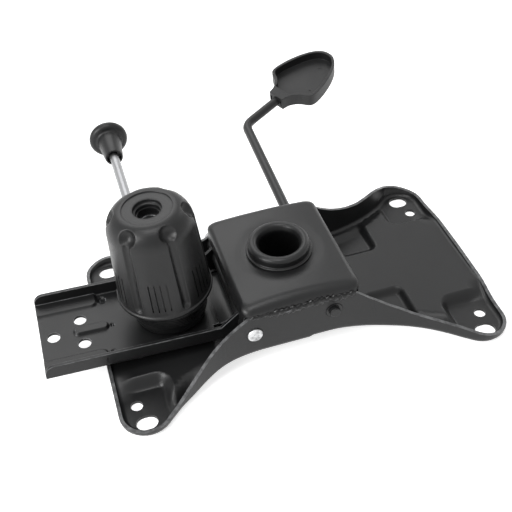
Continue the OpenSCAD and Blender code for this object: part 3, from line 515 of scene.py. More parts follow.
def makeSeatPlate():
    p = plate
    inset = p["sheet"] + p["bend"]
    bm = bmesh.new()
    ends = []
    for side, waist in ((1, p["waistFront"]), (-1, p["waistBack"])):
        wide, meet = waistArc(waist)
        start = bm.verts.new((side * (p["cornerX"] + p["cornerRadius"] - inset), p["cornerY"], 0))
        corner = bmesh.ops.spin(bm, geom=[start], cent=(side * p["cornerX"], p["cornerY"], 0), axis=(0, 0, 1),
            angle=side * (math.pi - abs(math.pi - abs(meet)) if meet > 0 else meet), steps=p["cornerSteps"])
        last = newest(corner, bmesh.types.BMVert, "geom_last")
        flank = bmesh.ops.spin(bm, geom=last, cent=(side * waist, p["waistY"] + wide, 0),
            axis=(0, 0, 1), angle=side * (math.pi / 2 - meet), steps=p["flankSteps"])
        ends += newest(flank, bmesh.types.BMVert, "geom_last")
    bm.edges.new(ends)
    bmesh.ops.mirror(bm, geom=bm.verts[:] + bm.edges[:], axis="Y", merge_dist=0.001)
    for side in (1, -1):
        bm.edges.new([v for v in bm.verts if len(v.link_edges) == 1 and v.co.x * side > 0])
    bmesh.ops.contextual_create(bm, geom=bm.edges[:])

    # Cut lines lie close together where the panel is pressed, and wide apart elsewhere
    alongPlate, acrossPlate = [], []
    lead, step = p["lineLead"], p["lineStep"]
    for k in range(p["lines"]):
        for side in (1, -1):
            alongPlate.append(side * (p["padX"] - lead + k * step))
            acrossPlate.append(side * (p["padY"] - lead + k * step))
            alongPlate.append(p["pocketX"] + side * (p["pocketHalf"] - lead + k * step))
            acrossPlate.append(side * (p["pocketIn"] + lead - k * step))
    alongPlate += range(-p["gridX"], p["gridX"] + 1, p["gridStep"])
    acrossPlate += range(-p["gridY"], p["gridY"] + 1, p["gridStep"])
    cutAcross(bm, (1, 0, 0), alongPlate)
    cutAcross(bm, (0, 1, 0), acrossPlate)
    bmesh.ops.remove_doubles(bm, verts=bm.verts, dist=0.05)
    bmesh.ops.recalc_face_normals(bm, faces=bm.faces)
    if sum(f.normal.z for f in bm.faces) < 0:
        bmesh.ops.reverse_faces(bm, faces=bm.faces)

    # Which way is out at each spot of the rim, and the spot that each raised vertex comes from
    outward = {}
    for v in bm.verts:
        border = openEdges(v.link_edges)
        if border:
            away = Vector()
            for e in border:
                run = e.verts[1].co - e.verts[0].co
                square = Vector((run.y, -run.x, 0)).normalized()
                middle = e.link_faces[0].calc_center_median()
                away += square if square.dot(e.verts[0].co - middle) > 0 else -square
            outward[(round(v.co.x, 3), round(v.co.y, 3))] = away.normalized()
    homes = {key: key for key in outward}
    edges = openEdges(bm.edges)
    for v in bm.verts:
        v.co.z = plateHeight(v.co.x, v.co.y)
    for out, up in p["bendSteps"] + [(p["bend"], None)]:
        grown = bmesh.ops.extrude_edge_only(bm, edges=edges)
        edges = newest(grown, bmesh.types.BMEdge)
        moved = {}
        for v in newest(grown, bmesh.types.BMVert):
            home = homes[(round(v.co.x, 3), round(v.co.y, 3))]
            way = outward[home]
            low = plateHeight(*home)
            crest = rimHeight(home[0] + way.x * p["bend"], home[1] + way.y * p["bend"])
            # The bend is flatter where the wall is too low for all of it
            share = min(1.0, (crest - low - p["rimSpare"]) / p["bend"])
            v.co = (home[0] + way.x * out, home[1] + way.y * out, crest if up is None else low + share * up)
            moved[(round(v.co.x, 3), round(v.co.y, 3))] = home
        homes = moved
        edges = openEdges(edges)
    piece = asObject("seatPlate", bm)
    thicken(piece, p["sheet"])
    # Faces on the rim's top get the same paler line as the bevelled edges
    paleEdge = piece.data.attributes.new("cutEdge", "FLOAT", "FACE")
    for face in piece.data.polygons:
        x, y = face.center.x, face.center.y
        gap = min(p["cornerX"] + p["cornerRadius"] - abs(x), plateEdge(x) - abs(y))
        onRim = gap < p["bend"] and face.normal.z > 0.5
        paleEdge.data[face.index].value = p["rimPale"] if onRim else 0.0

    corners = [(sx, sy) for sx in (-1, 1) for sy in (-1, 1)]
    half, radius = p["slotHalf"], p["slotRadius"]
    slot = arc(half, 0, radius, -90, 90, 16) + arc(-half, 0, radius, 90, 270, 16)
    cutters = bmesh.new()
    for sx, sy in corners:
        outline = [(sx * p["slotX"] + x, sy * p["slotY"] + y) for x, y in slot]
        gather(cutters, prism(outline, *p["floorCut"]))
    carve(piece, asObject("slots", cutters))
    carve(piece, drills("holes", [(sx * p["holeX"], sy * p["holeY"]) for sx, sy in corners],
        p["holeRadius"], *p["floorCut"]))
    carve(piece, drills("pinHole", [(places["pivotX"], -places["pivotZ"])], p["pinHole"],
        -p["wallCut"], p["wallCut"], alongY))
    skew = math.tan(math.radians(places["leverSkew"]))
    for side, low, high in ((-1, -p["wallCut"], 0), (1, 0, p["wallCut"])):
        spot = (places["leverX"] + side * p["waistY"] * skew, -places["leverZ"])
        carve(piece, drills("leverHole", [spot], p["leverHole"], low, high, alongY))
    carve(piece, drills("boltHole", [(places["boltX"], 0)], p["boltHole"], *p["boltCut"]))
    edged(piece, p["edge"], 2, 48)
    return dress(piece, "seat_frame", coat, ["seat_plate"], 45)


makeSeatPlate()


# Column housing
housing = dict(middle=-4.5, halfX=42.5, halfY=51, corner=7, sideFold=9, endFold=4.5, top=57, crown=2.5,
    wallTop=48, skirt=39.2, skirtLap=0.4, socketX=-5, dishIn=24.5, dishOut=35, dish=0.9, sheet=2.5,
    edge=0.4, cornerSteps=10, endSteps=14, sideSteps=12,
    # Radii of the rings round the socket's hole, and angles of the rings over the folds
    holeRings=[17.9, 20.5, 22.5, 24, 25.2, 26.4, 27.6, 28.8, 30, 31],
    foldAngles=[90, 79, 68, 56, 45, 34, 22, 11, 0])


def housingLoop():
    # Spots round a rounded rectangle: which straight or corner each lies on, and how far along
    h = housing
    spots = []
    for quarter in range(4):
        straight = h["endSteps"] if quarter % 2 == 0 else h["sideSteps"]
        spots += [(quarter, "straight", (k + 0.5) / straight) for k in range(straight)]
        spots += [(quarter, "corner", (k + 0.5) / h["cornerSteps"]) for k in range(h["cornerSteps"])]
    return spots


def onRectangle(spot, halfX, halfY, corner):
    quarter, kind, share = spot
    inX, inY = halfX - corner, halfY - corner
    if kind == "straight":
        a = -1 + 2 * share
        point = [(halfX, a * inY), (-a * inX, halfY), (-halfX, -a * inY), (a * inX, -halfY)][quarter]
        return point, (0.0 if quarter % 2 == 0 else 1.0)
    angle = math.radians(90 * quarter + 90 * share)
    sx, sy = [(1, 1), (-1, 1), (-1, -1), (1, -1)][quarter]
    return ((sx * inX + corner * math.cos(angle), sy * inY + corner * math.sin(angle)),
        share if quarter % 2 == 0 else 1 - share)


def makeHousing():
    h = housing
    spots = housingLoop()

    def topZ(x):
        return h["top"] - h["crown"] * min(1, abs(x) / (h["halfX"] - h["endFold"])) ** 2

    def dishZ(x, y):
        r = math.hypot(x + h["middle"] - h["socketX"], y)
        return -h["dish"] * (1 - smoothStep((r - h["dishIn"]) / (h["dishOut"] - h["dishIn"])))

    rings = [("circle", r) for r in h["holeRings"]]
    rings += [("morph", t) for t in (0.25, 0.5, 0.75)]
    rings += [("fold", a) for a in h["foldAngles"]]
    rings += [("skirt", t) for t in (0.5, 1.0)]

    def point(ring, spot):
        kind, value = ring
        corner = h["corner"]
        if kind in ("circle", "morph"):
            (ox, oy), _ = onRectangle(spot, h["halfX"] - h["endFold"], h["halfY"] - h["sideFold"], corner)
            angle = math.atan2(oy, ox + h["middle"] - h["socketX"])
            r = value if kind == "circle" else h["holeRings"][-1]
            x, y = h["socketX"] - h["middle"] + r * math.cos(angle), r * math.sin(angle)
            if kind == "morph":
                x, y = x + (ox - x) * value, y + (oy - y) * value
            return x, y, topZ(x) + dishZ(x, y)
        fold = math.radians(value if kind == "fold" else 0)
        (x, y), side = onRectangle(spot, h["halfX"] - h["endFold"] * (1 - math.cos(fold)),
            h["halfY"] - h["sideFold"] * (1 - math.cos(fold)), corner)
        (tx, _), _ = onRectangle(spot, h["halfX"] - h["endFold"], h["halfY"] - h["sideFold"], corner)
        high = topZ(tx)
        side = smoothStep(side)
        drop = h["endFold"] * (1 - side) + (high - h["wallTop"]) * side
        z = high - drop * (1 - math.sin(fold))
        if kind == "skirt":
            low = h["skirt"] + (h["wallTop"] - h["skirtLap"] - h["skirt"]) * smoothStep(side * 2.2)
            z += (min(low, z) - z) * value
        return x, y, z

    bm = bmesh.new()
    step = bm.verts.layers.int.new("step")
    first = bmesh.ops.create_circle(bm, segments=len(spots), radius=10)["verts"]
    first.sort(key=lambda v: math.atan2(v.co.y, v.co.x) % (2 * math.pi))
    edges = bm.edges[:]
    for i, v in enumerate(first):
        v[step] = i
        v.co = point(rings[0], spots[i])
    for ring in rings[1:]:
        grown = bmesh.ops.extrude_edge_only(bm, edges=edges)
        for v in newest(grown, bmesh.types.BMVert):
            v.co = point(ring, spots[v[step]])
        edges = openEdges(newest(grown, bmesh.types.BMEdge))
    bmesh.ops.recalc_face_normals(bm, faces=bm.faces)
    if max(bm.faces, key=lambda f: f.calc_center_median().z).normal.z < 0:
        bmesh.ops.reverse_faces(bm, faces=bm.faces)
    bmesh.ops.translate(bm, verts=bm.verts, vec=(h["middle"], 0, 0))
    piece = asObject("columnHousing", bm)
    thicken(piece, h["sheet"])
    edged(piece, h["edge"], 2, 55)
    return dress(piece, "seat_frame", coat, ["column_housing"], 50)


makeHousing()


# Socket
socket = dict(tube=17.5, throat=13.3, mouth=14.3, low=26, chamfer=0.6, ringLow=55.6, ringHigh=57.8, ring=23.9,
    lipMiddle=18.9, lip=3.4, lipZ=61.6, taperSteps=8)


def makeSocket():
    s = socket
    low, high, tube, throat, mouth = s["low"], s["ringHigh"], s["tube"], s["throat"], s["mouth"]
    middle, lip, z = s["lipMiddle"], s["lip"], s["lipZ"]
    start, end = z - 6, low + s["chamfer"]
    profile = [(throat, end), (throat + 0.5, low), (tube - 0.5, low), (tube, low + 0.5), (tube, s["ringLow"])]
    profile += arc(s["ring"] - 0.7, s["ringLow"] + 0.7, 0.7, -90, 0, 3)
    profile += arc(s["ring"] - 0.8, high - 0.8, 0.8, 0, 90, 4)
    profile += [(middle + lip + 0.35, high), (middle + lip, high + 0.35)]
    profile += arc(middle, z, lip, 0, 165, 20)
    profile += [(mouth + 0.55, z - 0.6), (mouth + 0.12, z - 2.6), (mouth, start)]
    for k in range(1, s["taperSteps"]):
        share = k / s["taperSteps"]
        profile.append((mouth - (mouth - throat) * share, start - (start - end) * share))
    piece = asObject("taperSocket", lathe(profile, 112), shift(housing["socketX"], 0, 0))
    dress(piece, "seat_frame", coat, ["taper_socket"], 40)
    # Painted shade: the bore's faces get a darker copy of the coat, so the deep hole looks dark
    piece.data.materials.append(paintedBoreShade)
    for face in piece.data.polygons:
        x, y, z = face.center * 1000
        if math.hypot(x - housing["socketX"], y) < mouth + 0.4 and z < s["lipZ"] - 1.1:
            face.material_index = 1
    return piece


makeSocket()


# Weld beads along both walls
beads = dict(fromX=-42, toX=34, y=50.8, z=47.4, thick=3.0, tall=5.2, sides=14, cuts=110, endShare=0.03)


def makeWelds():
    b = beads
    long = b["toX"] - b["fromX"]
    bm = bmesh.new()
    for side in (-1, 1):
        bead = bmesh.new()
        bmesh.ops.create_cone(bead, cap_ends=True, segments=b["sides"], radius1=1, radius2=1, depth=long,
            matrix=shift((b["fromX"] + b["toX"]) / 2, 0, 0) @ turn("Y", 90))
        lines = [e for e in bead.edges if abs(e.verts[0].co.x - e.verts[1].co.x) > 1]
        bmesh.ops.subdivide_edges(bead, edges=lines, cuts=b["cuts"])
        for v in bead.verts:
            x, y, z = v.co
            run = (x - b["fromX"]) / long
            # It starts thin, grows over the first fifth, and ends in a short taper
            ends = smoothStep(run / b["endShare"]) * smoothStep((1 - run) / b["endShare"])
            ends *= 0.55 + 0.45 * smoothStep((run - 0.12) / 0.2)
            ripple = 0.85 + 0.16 * math.sin(x * 1.5 + 2.0 * noise.noise((x * 0.2, side, 3)))
            lump = 1 + 0.5 * noise.noise((x * 0.22, y * 0.6 + side * 7, z * 0.6))
            spatter = 0.6 * max(0, noise.noise((x * 0.6, y * 0.9 - side * 9, z * 0.9)) - 0.1)
            size = (0.2 + 0.8 * ends) * (ripple * lump + spatter)
            wander = 0.5 * noise.noise((x * 0.12, side * 5, 0))
            v.co = (x, side * (b["y"] + y * b["thick"] * size * 0.62),
                b["z"] + wander + z * b["tall"] * size * 0.6)
        gather(bm, bead)
    bmesh.ops.recalc_face_normals(bm, faces=bm.faces)
    return dress(asObject("housingWelds", bm), "seat_frame", weld, ["housing_welds"], 70)


makeWelds()


# Pivot pin
pin = dict(radius=5.5, near=-52.6, head=52.35, headRadius=9, headEnd=55.8, dome=0.7)


def makePin():
    p = pin
    near, wide, end = p["near"] - p["dome"] * 0.5, p["headRadius"], p["headEnd"]
    # The peened end has a ring groove round its middle
    profile = [(0, near + 0.75), (0.9, near + 0.6), (1.5, near + 0.1), (1.9, near + 0.05),
        (2.3, near + 0.35), (2.6, near + 0.05), (3.2, near), (4.5, near + 0.05), (5.1, near + 0.3),
        (p["radius"], near + 0.9), (p["radius"], p["head"]), (wide, p["head"]), (wide, end - 1),
        (wide - 0.5, end - 0.3), (wide - 1.5, end), (0, end)]
    bm = lathe(profile, 64, closed=False)
    for v in bm.verts:
        if v.co.z < p["near"] + 0.5:
            v.co.z += 0.12 * noise.noise(v.co * 0.8)
    place = shift(places["pivotX"], 0, places["pivotZ"]) @ alongY
    return dress(asObject("pivotPin", bm, place), "seat_frame", peened, ["pivot_pin"])


makePin()


# Back bracket
bracket = dict(length=142.5, drop=15.2, height=12.5, ear=11.5, halfIn=33.9, bend=1.0, sheet=2.5,
    baseEnd=6.5, riseX=-20, endRadius=7, edge=0.4, ledgeIn=22, ledgeHigh=1.8, ledgeTo=-99, ledgeRound=6.0,
    ribFrom=-118.9, ribTo=-93.9, ribHalf=3.75, ribHigh=2.5, pit=1.5,
    pits=[(-91.4, 0, 2.4), (-94.6, 27, 4.2), (-94.6, -27, 4.2)],
    tongueFrom=-22.5, tongueHalf=24, tongueRise=4.0, tongueRun=15, pinHole=5.6, barHole=4.5, outerHole=-133.2,
    innerHoles=-112.9, innerSpan=11.7, boltArm=48.5, boltHole=9, lockHole=4.3,
    floorCut=(-22, -4), lockCut=(10, 60), wallCut=60, reliefX=(-22.5, 20), reliefY=(22, 32.4),
    reliefZ=(-20, -11.9),
    # Start, step and count of the cut lines that carry the pressed forms
    linesAlong=[(-146, 2.5, 9), (-122, 0.7, 52), (-24, 2, 14)], linesAcross=[(0.6, 0.45, 10), (20.6, 0.7, 16)])


def ledgeHeight(x, y):
    # Forms pressed into the floor: two ledges, a rib, a pit at each one's end, and the raised tongue
    b = bracket
    ax, ay, r = b["ledgeTo"] - x + 1.5, abs(y) - b["ledgeIn"] + 1.2, b["ledgeRound"]
    inside = min(ax, ay, r - math.hypot(max(r - ax, 0), max(r - ay, 0)))
    ledge = b["ledgeHigh"] * smoothStep(inside / 2.2)
    mid, half = (b["ribFrom"] + b["ribTo"]) / 2, (b["ribTo"] - b["ribFrom"]) / 2 - b["ribHalf"]
    away = math.hypot(max(0, abs(x - mid) - half), y)
    rib = b["ribHigh"] * smoothStep((b["ribHalf"] + 0.7 - away) / 1.9)
    tongue = b["tongueRise"] * smoothStep((x - b["tongueFrom"]) / b["tongueRun"])
    if abs(y) >= b["tongueHalf"]:
        tongue = 0
    sunk = max(smoothStep((size - math.hypot((x - px) * 1.5, y - py)) / 1.8)
        for px, py, size in b["pits"])
    return max(ledge, rib, tongue) - b["pit"] * sunk


def bracketSide():
    # Outline of the bracket from the side, with the ear at the origin
    b = bracket
    top, base = b["height"] - b["drop"], -b["drop"]
    return ([(-b["length"], base - 1), (-b["baseEnd"], base - 1), (-b["baseEnd"], base)]
        + arc(0, 0, b["ear"], -50, 125, 30) + [(b["riseX"], top)]
        + arc(b["endRadius"] - b["length"], top - b["endRadius"], b["endRadius"], 90, 180, 10))


def makeBracket():
    b = bracket
    floor = b["sheet"] - b["drop"]
    bm = bmesh.new()
    section = [(b["halfIn"], 14)] + [(b["halfIn"], z) for z in (4, -2, -6, floor + b["bend"])]
    section += arc(b["halfIn"] - b["bend"], floor + b["bend"], b["bend"], 0, -90, 4)[1:]
    section += [(-y, z) for y, z in reversed(section)]
    verts = [bm.verts.new((-b["length"] - 3, y, z)) for y, z in section]
    edges = [bm.edges.new(pair) for pair in zip(verts, verts[1:])]
    swept = bmesh.ops.extrude_edge_only(bm, edges=edges)
    bmesh.ops.translate(bm, verts=newest(swept, bmesh.types.BMVert), vec=(b["length"] + 20, 0, 0))
    cutAcross(bm, (1, 0, 0), [x for lines in b["linesAlong"] for x in evenly(*lines)])
    cutAcross(bm, (0, 1, 0), [side * y for lines in b["linesAcross"] for y in evenly(*lines) for side in (-1, 1)])
    for v in bm.verts:
        form = floor + ledgeHeight(v.co.x, v.co.y)
        v.co.z = form if abs(v.co.y) < b["halfIn"] - b["bend"] - 0.2 else max(v.co.z, form)
    bmesh.ops.recalc_face_normals(bm, faces=bm.faces)
    flat = max(bm.faces, key=lambda f: f.calc_area() if abs(f.normal.z) > 0.9 else 0)
    if flat.normal.z < 0:
        bmesh.ops.reverse_faces(bm, faces=bm.faces)
    piece = asObject("backBracket", bm)
    thicken(piece, b["sheet"])
    side = prism(bracketSide(), -b["wallCut"], b["wallCut"])
    bmesh.ops.transform(side, matrix=turn("X", 90), verts=side.verts)
    bmesh.ops.recalc_face_normals(side, faces=side.faces)
    carve(piece, asObject("sideForm", side), "INTERSECT", "MANIFOLD")
    barSpots = [(b["outerHole"], 0), (b["innerHoles"], b["innerSpan"]), (b["innerHoles"], -b["innerSpan"])]
    cutters = [drills("pinHole", [(0, 0)], b["pinHole"], -b["wallCut"], b["wallCut"], alongY),
        drills("barHoles", barSpots, b["barHole"], *b["floorCut"]),
        drills("boltHole", [(-b["boltArm"], 0)], b["boltHole"], *b["floorCut"]),
        drills("lockHole", [(0, 0)], b["lockHole"], *b["lockCut"], onPivot.inverted() @ onLock @ alongY)]
    # Reliefs beside the tongue, where the floor stops short of the walls
    (x0, x1), (y0, y1) = b["reliefX"], b["reliefY"]
    for hand in (-1, 1):
        relief = [(x0, hand * y0), (x1, hand * y0), (x1, hand * y1), (x0, hand * y1)]
        cutters.append(asObject("relief", prism(relief, *b["reliefZ"])))
    for cutter in cutters:
        carve(piece, cutter, solver="MANIFOLD")
    edged(piece, b["edge"], 2, 48, 0.06, False)
    piece.data.transform(onPivot)
    return dress(piece, "back_arm", coat, ["back_bracket"])


makeBracket()


# Spring cup
cup = dict(radius=27, height=20, hole=9, inner=22.9, floor=2.5, ridges=6, ridgeStart=0.48, band=1.2)


def makeCup():
    c = cup
    wide, tall, band = c["radius"], c["height"], c["band"]
    low = tall * c["ridgeStart"]
    step = (tall - band - low) / c["ridges"]
    profile = [(c["hole"], 0), (22.6, 0), (24.6, 2), (25.9, 6)]
    for k in range(c["ridges"]):
        z = low + step * k
        profile += [(wide - 1.1, z), (wide - 1.05, z + step * 0.22), (wide - 0.1, z + step * 0.36),
            (wide, z + step * 0.6), (wide - 0.1, z + step * 0.84)]
    profile += [(wide - 0.7, tall - band), (wide, tall - 0.9), (wide, tall - 0.3), (wide - 0.3, tall)]
    profile += [(24.9, tall), (24.9, 8), (c["inner"], c["floor"]), (c["hole"], c["floor"])]
    place = onPivot @ shift(-bracket["boltArm"], 0, bracket["sheet"] - bracket["drop"])
    return dress(asObject("springCup", lathe(profile, 112), place), "back_arm", plastic,
        ["spring_cup"], 50)


makeCup()


# Spring: one wire, its end turns closer together than the middle ones
spring = dict(wire=2.72, room=2.75, endGap=0.7, coil=19.5, turns=8, low=15.03, length=68.8, perTurn=28, sides=12)


def makeSpring():
    s = spring
    endPitch = 2 * s["room"] + s["endGap"]
    midPitch = (s["length"] - 2 * s["room"] - 2 * endPitch) / (s["turns"] - 2)
    bm = bmesh.new()
    bmesh.ops.create_circle(bm, cap_ends=True, segments=s["sides"], radius=s["wire"],
        matrix=shift(s["coil"], 0, s["low"] + s["room"]) @ turn("X", 90))
    geom = bm.faces[:]
    for turns, pitch in ((1, endPitch), (s["turns"] - 2, midPitch), (1, endPitch)):
        done = bmesh.ops.spin(bm, geom=geom, cent=(0, 0, 0), axis=(0, 0, 1), angle=2 * math.pi * turns,
            steps=s["perTurn"] * turns, dvec=(0, 0, pitch / s["perTurn"]), use_merge=False)
        geom = newest(done, bmesh.types.BMFace, "geom_last")
    bmesh.ops.recalc_face_normals(bm, faces=bm.faces)
    return dress(asObject("tensionSpring", bm, onBolt), "spring_follower", wire,
        ["tension_spring"], 50)


makeSpring()


# Tension knob
knob = dict(z=85.93, depth=49.2, head=24.0, foot=33, shoulder=29.8, shoulderZ=8, rim=33.9, rimHigh=3,
    plateau=17.4, bore=7.0, boreEnd=12, insert=10.97, counterbore=9.6, sunk=0.9, dimples=6, dimpleTurn=-13,
    dimple=7.0, dimpleR=28.6, dimpleZ=20.4, flute=3.2, fluteDeep=1.8, fluteFoot=8.2, slits=4,
    slitDeep=4, slitWide=0.85, slitStep=4.2, slitLong=24, slitLow=8, turns=480)


def knobWall(z):
    k = knob
    return k["foot"] + (k["shoulder"] - k["foot"]) * (z + k["depth"] - k["rimHigh"]) / (
        k["shoulderZ"] + k["depth"] - k["rimHigh"])


def makeKnob():
    k = knob
    low, foot, head, flat = -k["depth"], k["rimHigh"] - k["depth"], k["head"], k["plateau"]
    hollow = rounded([(31.2, low), (31.2, low + 4.5), (29.6, low + 8.5), (27.5, -4), (26, 0), (k["insert"], 0),
        (k["insert"], k["boreEnd"]), (k["bore"], k["boreEnd"])], 0.3)
    face, step = head - k["sunk"], k["counterbore"]
    bore = [(k["bore"], face - 6), (k["bore"] + 0.3, face - 5.4), (8.3, face - 5.3), (8.3, face - 3.1),
        (8.6, face - 2.8), (step - 0.3, face - 2.8), (step, face - 2.5), (step, face - 0.5),
        (step + 0.15, face - 0.15), (step + 0.5, face)]
    plateau = [(12, face), (14.5, face), (flat - 0.75, face), (flat - 0.6, face + 0.05),
        (flat - 0.45, head - 0.12), (flat - 0.2, head)]
    wide, tall = k["shoulder"] - flat, head - k["shoulderZ"]
    shoulder = [(flat + wide * math.cos(a), k["shoulderZ"] + tall * math.sin(a))
        for a in [math.radians(87 - 87 * i / 44) for i in range(45)]]
    zs = [k["shoulderZ"] - 0.9 * i for i in range(1, 6)]
    zs += [zs[-1] - 4.0 * i for i in range(1, 9)]
    zs += [zs[-1] - (zs[-1] - (foot + 0.5)) * i / 18 for i in range(1, 19)]
    wall = [(knobWall(z), z) for z in zs]
    rim = [(k["rim"] - 0.62, foot + 0.12), (k["rim"] - 0.3, foot - 0.05), (k["rim"] - 0.06, foot - 0.4),
        (k["rim"], low + 1.9), (k["rim"], low + 0.6), (k["rim"] - 0.5, low)]
    bm = lathe(hollow + bore + plateau + shoulder + wall + rim, k["turns"])
    for v in bm.verts:
        r, z = math.hypot(v.co.x, v.co.y), v.co.z
        if r < flat + 0.3 or z < foot + 0.3 or (z < k["shoulderZ"] and r < knobWall(z) - 1):
            continue
        angle = math.degrees(math.atan2(v.co.y, v.co.x)) - k["dimpleTurn"]
        angle = math.radians((angle + 180 / k["dimples"]) % (360 / k["dimples"]) - 180 / k["dimples"])
        across, out = r * math.sin(angle), r * math.cos(angle)
        # Flute below the dimple: a round bar laid along the wall, with a ball at its foot
        below = max(0.0, low + k["fluteFoot"] - z)
        inside = k["flute"] ** 2 - across * across - below * below
        deep = (math.sqrt(inside) if inside > 0 else 0) - (k["flute"] - k["fluteDeep"])
        sink = softMax(deep, 0, 0.12) * smoothStep((17 - z) / 3)
        # Thumb dimple, a ball pressed into the shoulder
        height = z - k["dimpleZ"]
        inside = k["dimple"] ** 2 - across * across - height * height
        if inside > 0 and z > k["shoulderZ"]:
            sink = softMax(sink, out - k["dimpleR"] + math.sqrt(inside), 0.3)
        if sink > 0.01:
            v.co.x *= (r - sink) / r
            v.co.y *= (r - sink) / r
    piece = asObject("tensionKnob", bm)
    slits = bmesh.new()
    lean = math.degrees(math.atan((k["foot"] - k["shoulder"]) / (k["shoulderZ"] + k["depth"] - k["rimHigh"])))
    start = k["slitLow"] + low
    for panel in range(k["dimples"]):
        middle = k["dimpleTurn"] + (panel + 0.5) * 360 / k["dimples"]
        for i in range(k["slits"]):
            # Slits stand side by side round the wall, midway between two flutes
            aside = math.degrees(k["slitStep"] * (i - (k["slits"] - 1) / 2) / k["foot"])
            made = bmesh.ops.create_cube(slits, size=1)["verts"]
            bmesh.ops.scale(slits, vec=(k["slitDeep"], k["slitWide"], k["slitLong"]), verts=made)
            bmesh.ops.transform(slits, verts=made, matrix=turn("Z", middle + aside)
                @ shift(knobWall(start) + 0.6, 0, start) @ turn("Y", -lean) @ shift(0, 0, k["slitLong"] / 2))
    carve(piece, asObject("slits", slits))
    piece.data.transform(onBolt @ shift(0, 0, k["z"]))
    return dress(piece, "knob", plastic, ["tension_knob"], 55)


makeKnob()


# Gas lever
lever = dict(radius=4, tip=-54.02, bend=12.5, angle=62.3, roll=11.9, into=7.3)


def makeLever():
    k = lever
    taken = k["bend"] * math.tan(math.radians(k["angle"] / 2))
    start = places["armFoot"] - taken
    bm = bmesh.new()
    bmesh.ops.create_circle(bm, cap_ends=True, segments=32, radius=k["radius"] - 0.8,
        matrix=shift(0, k["tip"] - 0.3, 0) @ turn("X", 90))
    face, cap = bm.faces[:], True
    for y, r in ((k["tip"], k["radius"] - 0.35), (k["tip"] + 0.5, k["radius"]), (start, k["radius"])):
        grown = bmesh.ops.extrude_face_region(bm, geom=face, use_keep_orig=cap)
        verts = newest(grown, bmesh.types.BMVert)
        if not cap:
            bmesh.ops.delete(bm, geom=[f for f in face if f.is_valid], context="FACES_ONLY")
        face, cap = newest(grown, bmesh.types.BMFace), False
        for v in verts:
            flat = Vector((v.co.x, 0, v.co.z)).normalized() * r
            v.co = (flat.x, y, flat.z)
    direction = turn("Y", -k["roll"]) @ Vector((1, 0, 0))
    axis = direction.cross(Vector((0, 1, 0)))
    done = bmesh.ops.spin(bm, geom=face, cent=Vector((0, start, 0)) + direction * k["bend"], axis=axis,
        angle=-math.radians(k["angle"]), steps=20)
    last = newest(done, bmesh.types.BMFace, "geom_last")
    bmesh.ops.delete(bm, geom=face, context="FACES_ONLY")
    way = Matrix.Rotation(-math.radians(k["angle"]), 3, axis) @ Vector((0, 1, 0))
    grown = bmesh.ops.extrude_face_region(bm, geom=last)
    bmesh.ops.delete(bm, geom=last, context="FACES_ONLY")
    bmesh.ops.translate(bm, verts=newest(grown, bmesh.types.BMVert),
        vec=way * (places["armLong"] - taken + k["into"]))
    bmesh.ops.recalc_face_normals(bm, faces=bm.faces)
    return dress(asObject("gasLeverRod", bm, onLever), "gas_lever", coat, ["gas_lever_rod"], 40)


makeLever()


# Lever paddle
leaf = dict(length=72, width=51, thick=11, lift=1.2, wall=2.2, floor=4.2, neck=9, rod=4.02, rodEnd=7.6,
    trayRound=1.6, edge=0.9, notch=(5, 1.6, 6), notchY=6, dots=[(56, -2.5, 1.9), (30, -14, 0.9)], steps=6,
    # Half the width at places along the leaf, both as shares
    outline=[(0, 0.314), (0.086, 0.36), (0.157, 0.48), (0.214, 0.66), (0.266, 0.91), (0.323, 1), (0.42, 1),
        (0.55, 0.935), (0.70, 0.81), (0.83, 0.645), (0.925, 0.455), (0.985, 0.225)])


def leafOutline():
    # A smooth curve through the outline's spots and round the tip
    p = leaf
    half = [Vector((x * p["length"], w * p["width"] / 2)) for x, w in p["outline"]]
    spots = half + [Vector((p["length"], 0))] + [Vector((v.x, -v.y)) for v in reversed(half)]
    out = []
    for i in range(len(spots) - 1):
        a, b, c, d = spots[max(i - 1, 0)], spots[i], spots[i + 1], spots[min(i + 2, len(spots) - 1)]
        for k in range(p["steps"]):
            t = k / p["steps"]
            out.append(0.5 * (2 * b + (c - a) * t + (2 * a - 5 * b + 4 * c - d) * t * t
                + (3 * b - a - 3 * c + d) * t ** 3))
    return out + [spots[-1]]


def makePaddle():
    p = leaf
    outline, low, middle = leafOutline(), -p["thick"] / 2, p["length"] * 0.52
    body = prism([tuple(v) for v in outline], low - 0.3, p["thick"] / 2 + p["lift"])
    piece = asObject("leverPaddle", body)
    hollow = []
    for v in outline:
        d = Vector((v.x - middle, v.y))
        k = 1 - p["wall"] * 1.25 / d.length
        hollow.append((max(middle + d.x * k, p["neck"]), d.y * k))
    clean = [spot for i, spot in enumerate(hollow)
        if (Vector(spot) - Vector(hollow[i - 1])).length > 0.05]
    tray = prism(clean, p["floor"] + low, p["thick"])
    roundEdges(tray, p["trayRound"], 4, 60)
    carve(piece, asObject("tray", tray))
    bm = bmesh.new()
    bm.from_mesh(piece.data)
    roundEdges(bm, p["edge"], 3, 60)
    bm.to_mesh(piece.data)
    bm.free()
    carve(piece, drills("rodHole", [(0, 0)], p["rod"], -2, p["rodEnd"], turn("Y", 90)))
    # Two notches beside the rod, and two shallow marks in the tray
    marks = bmesh.new()
    for side in (-1, 1):
        made = bmesh.ops.create_cube(marks, size=1)["verts"]
        bmesh.ops.scale(marks, vec=p["notch"], verts=made)
        bmesh.ops.translate(marks, vec=(0, side * p["notchY"], 0), verts=made)
    for x, y, r in p["dots"]:
        bmesh.ops.create_cone(marks, cap_ends=True, segments=28, radius1=r, radius2=r, depth=1,
            matrix=shift(x, y, p["floor"] + low + 0.22))
    carve(piece, asObject("marks", marks))
    piece.data.transform(onArm)
    return dress(piece, "gas_lever", leafPlastic, ["lever_paddle"], 36)


makePaddle()


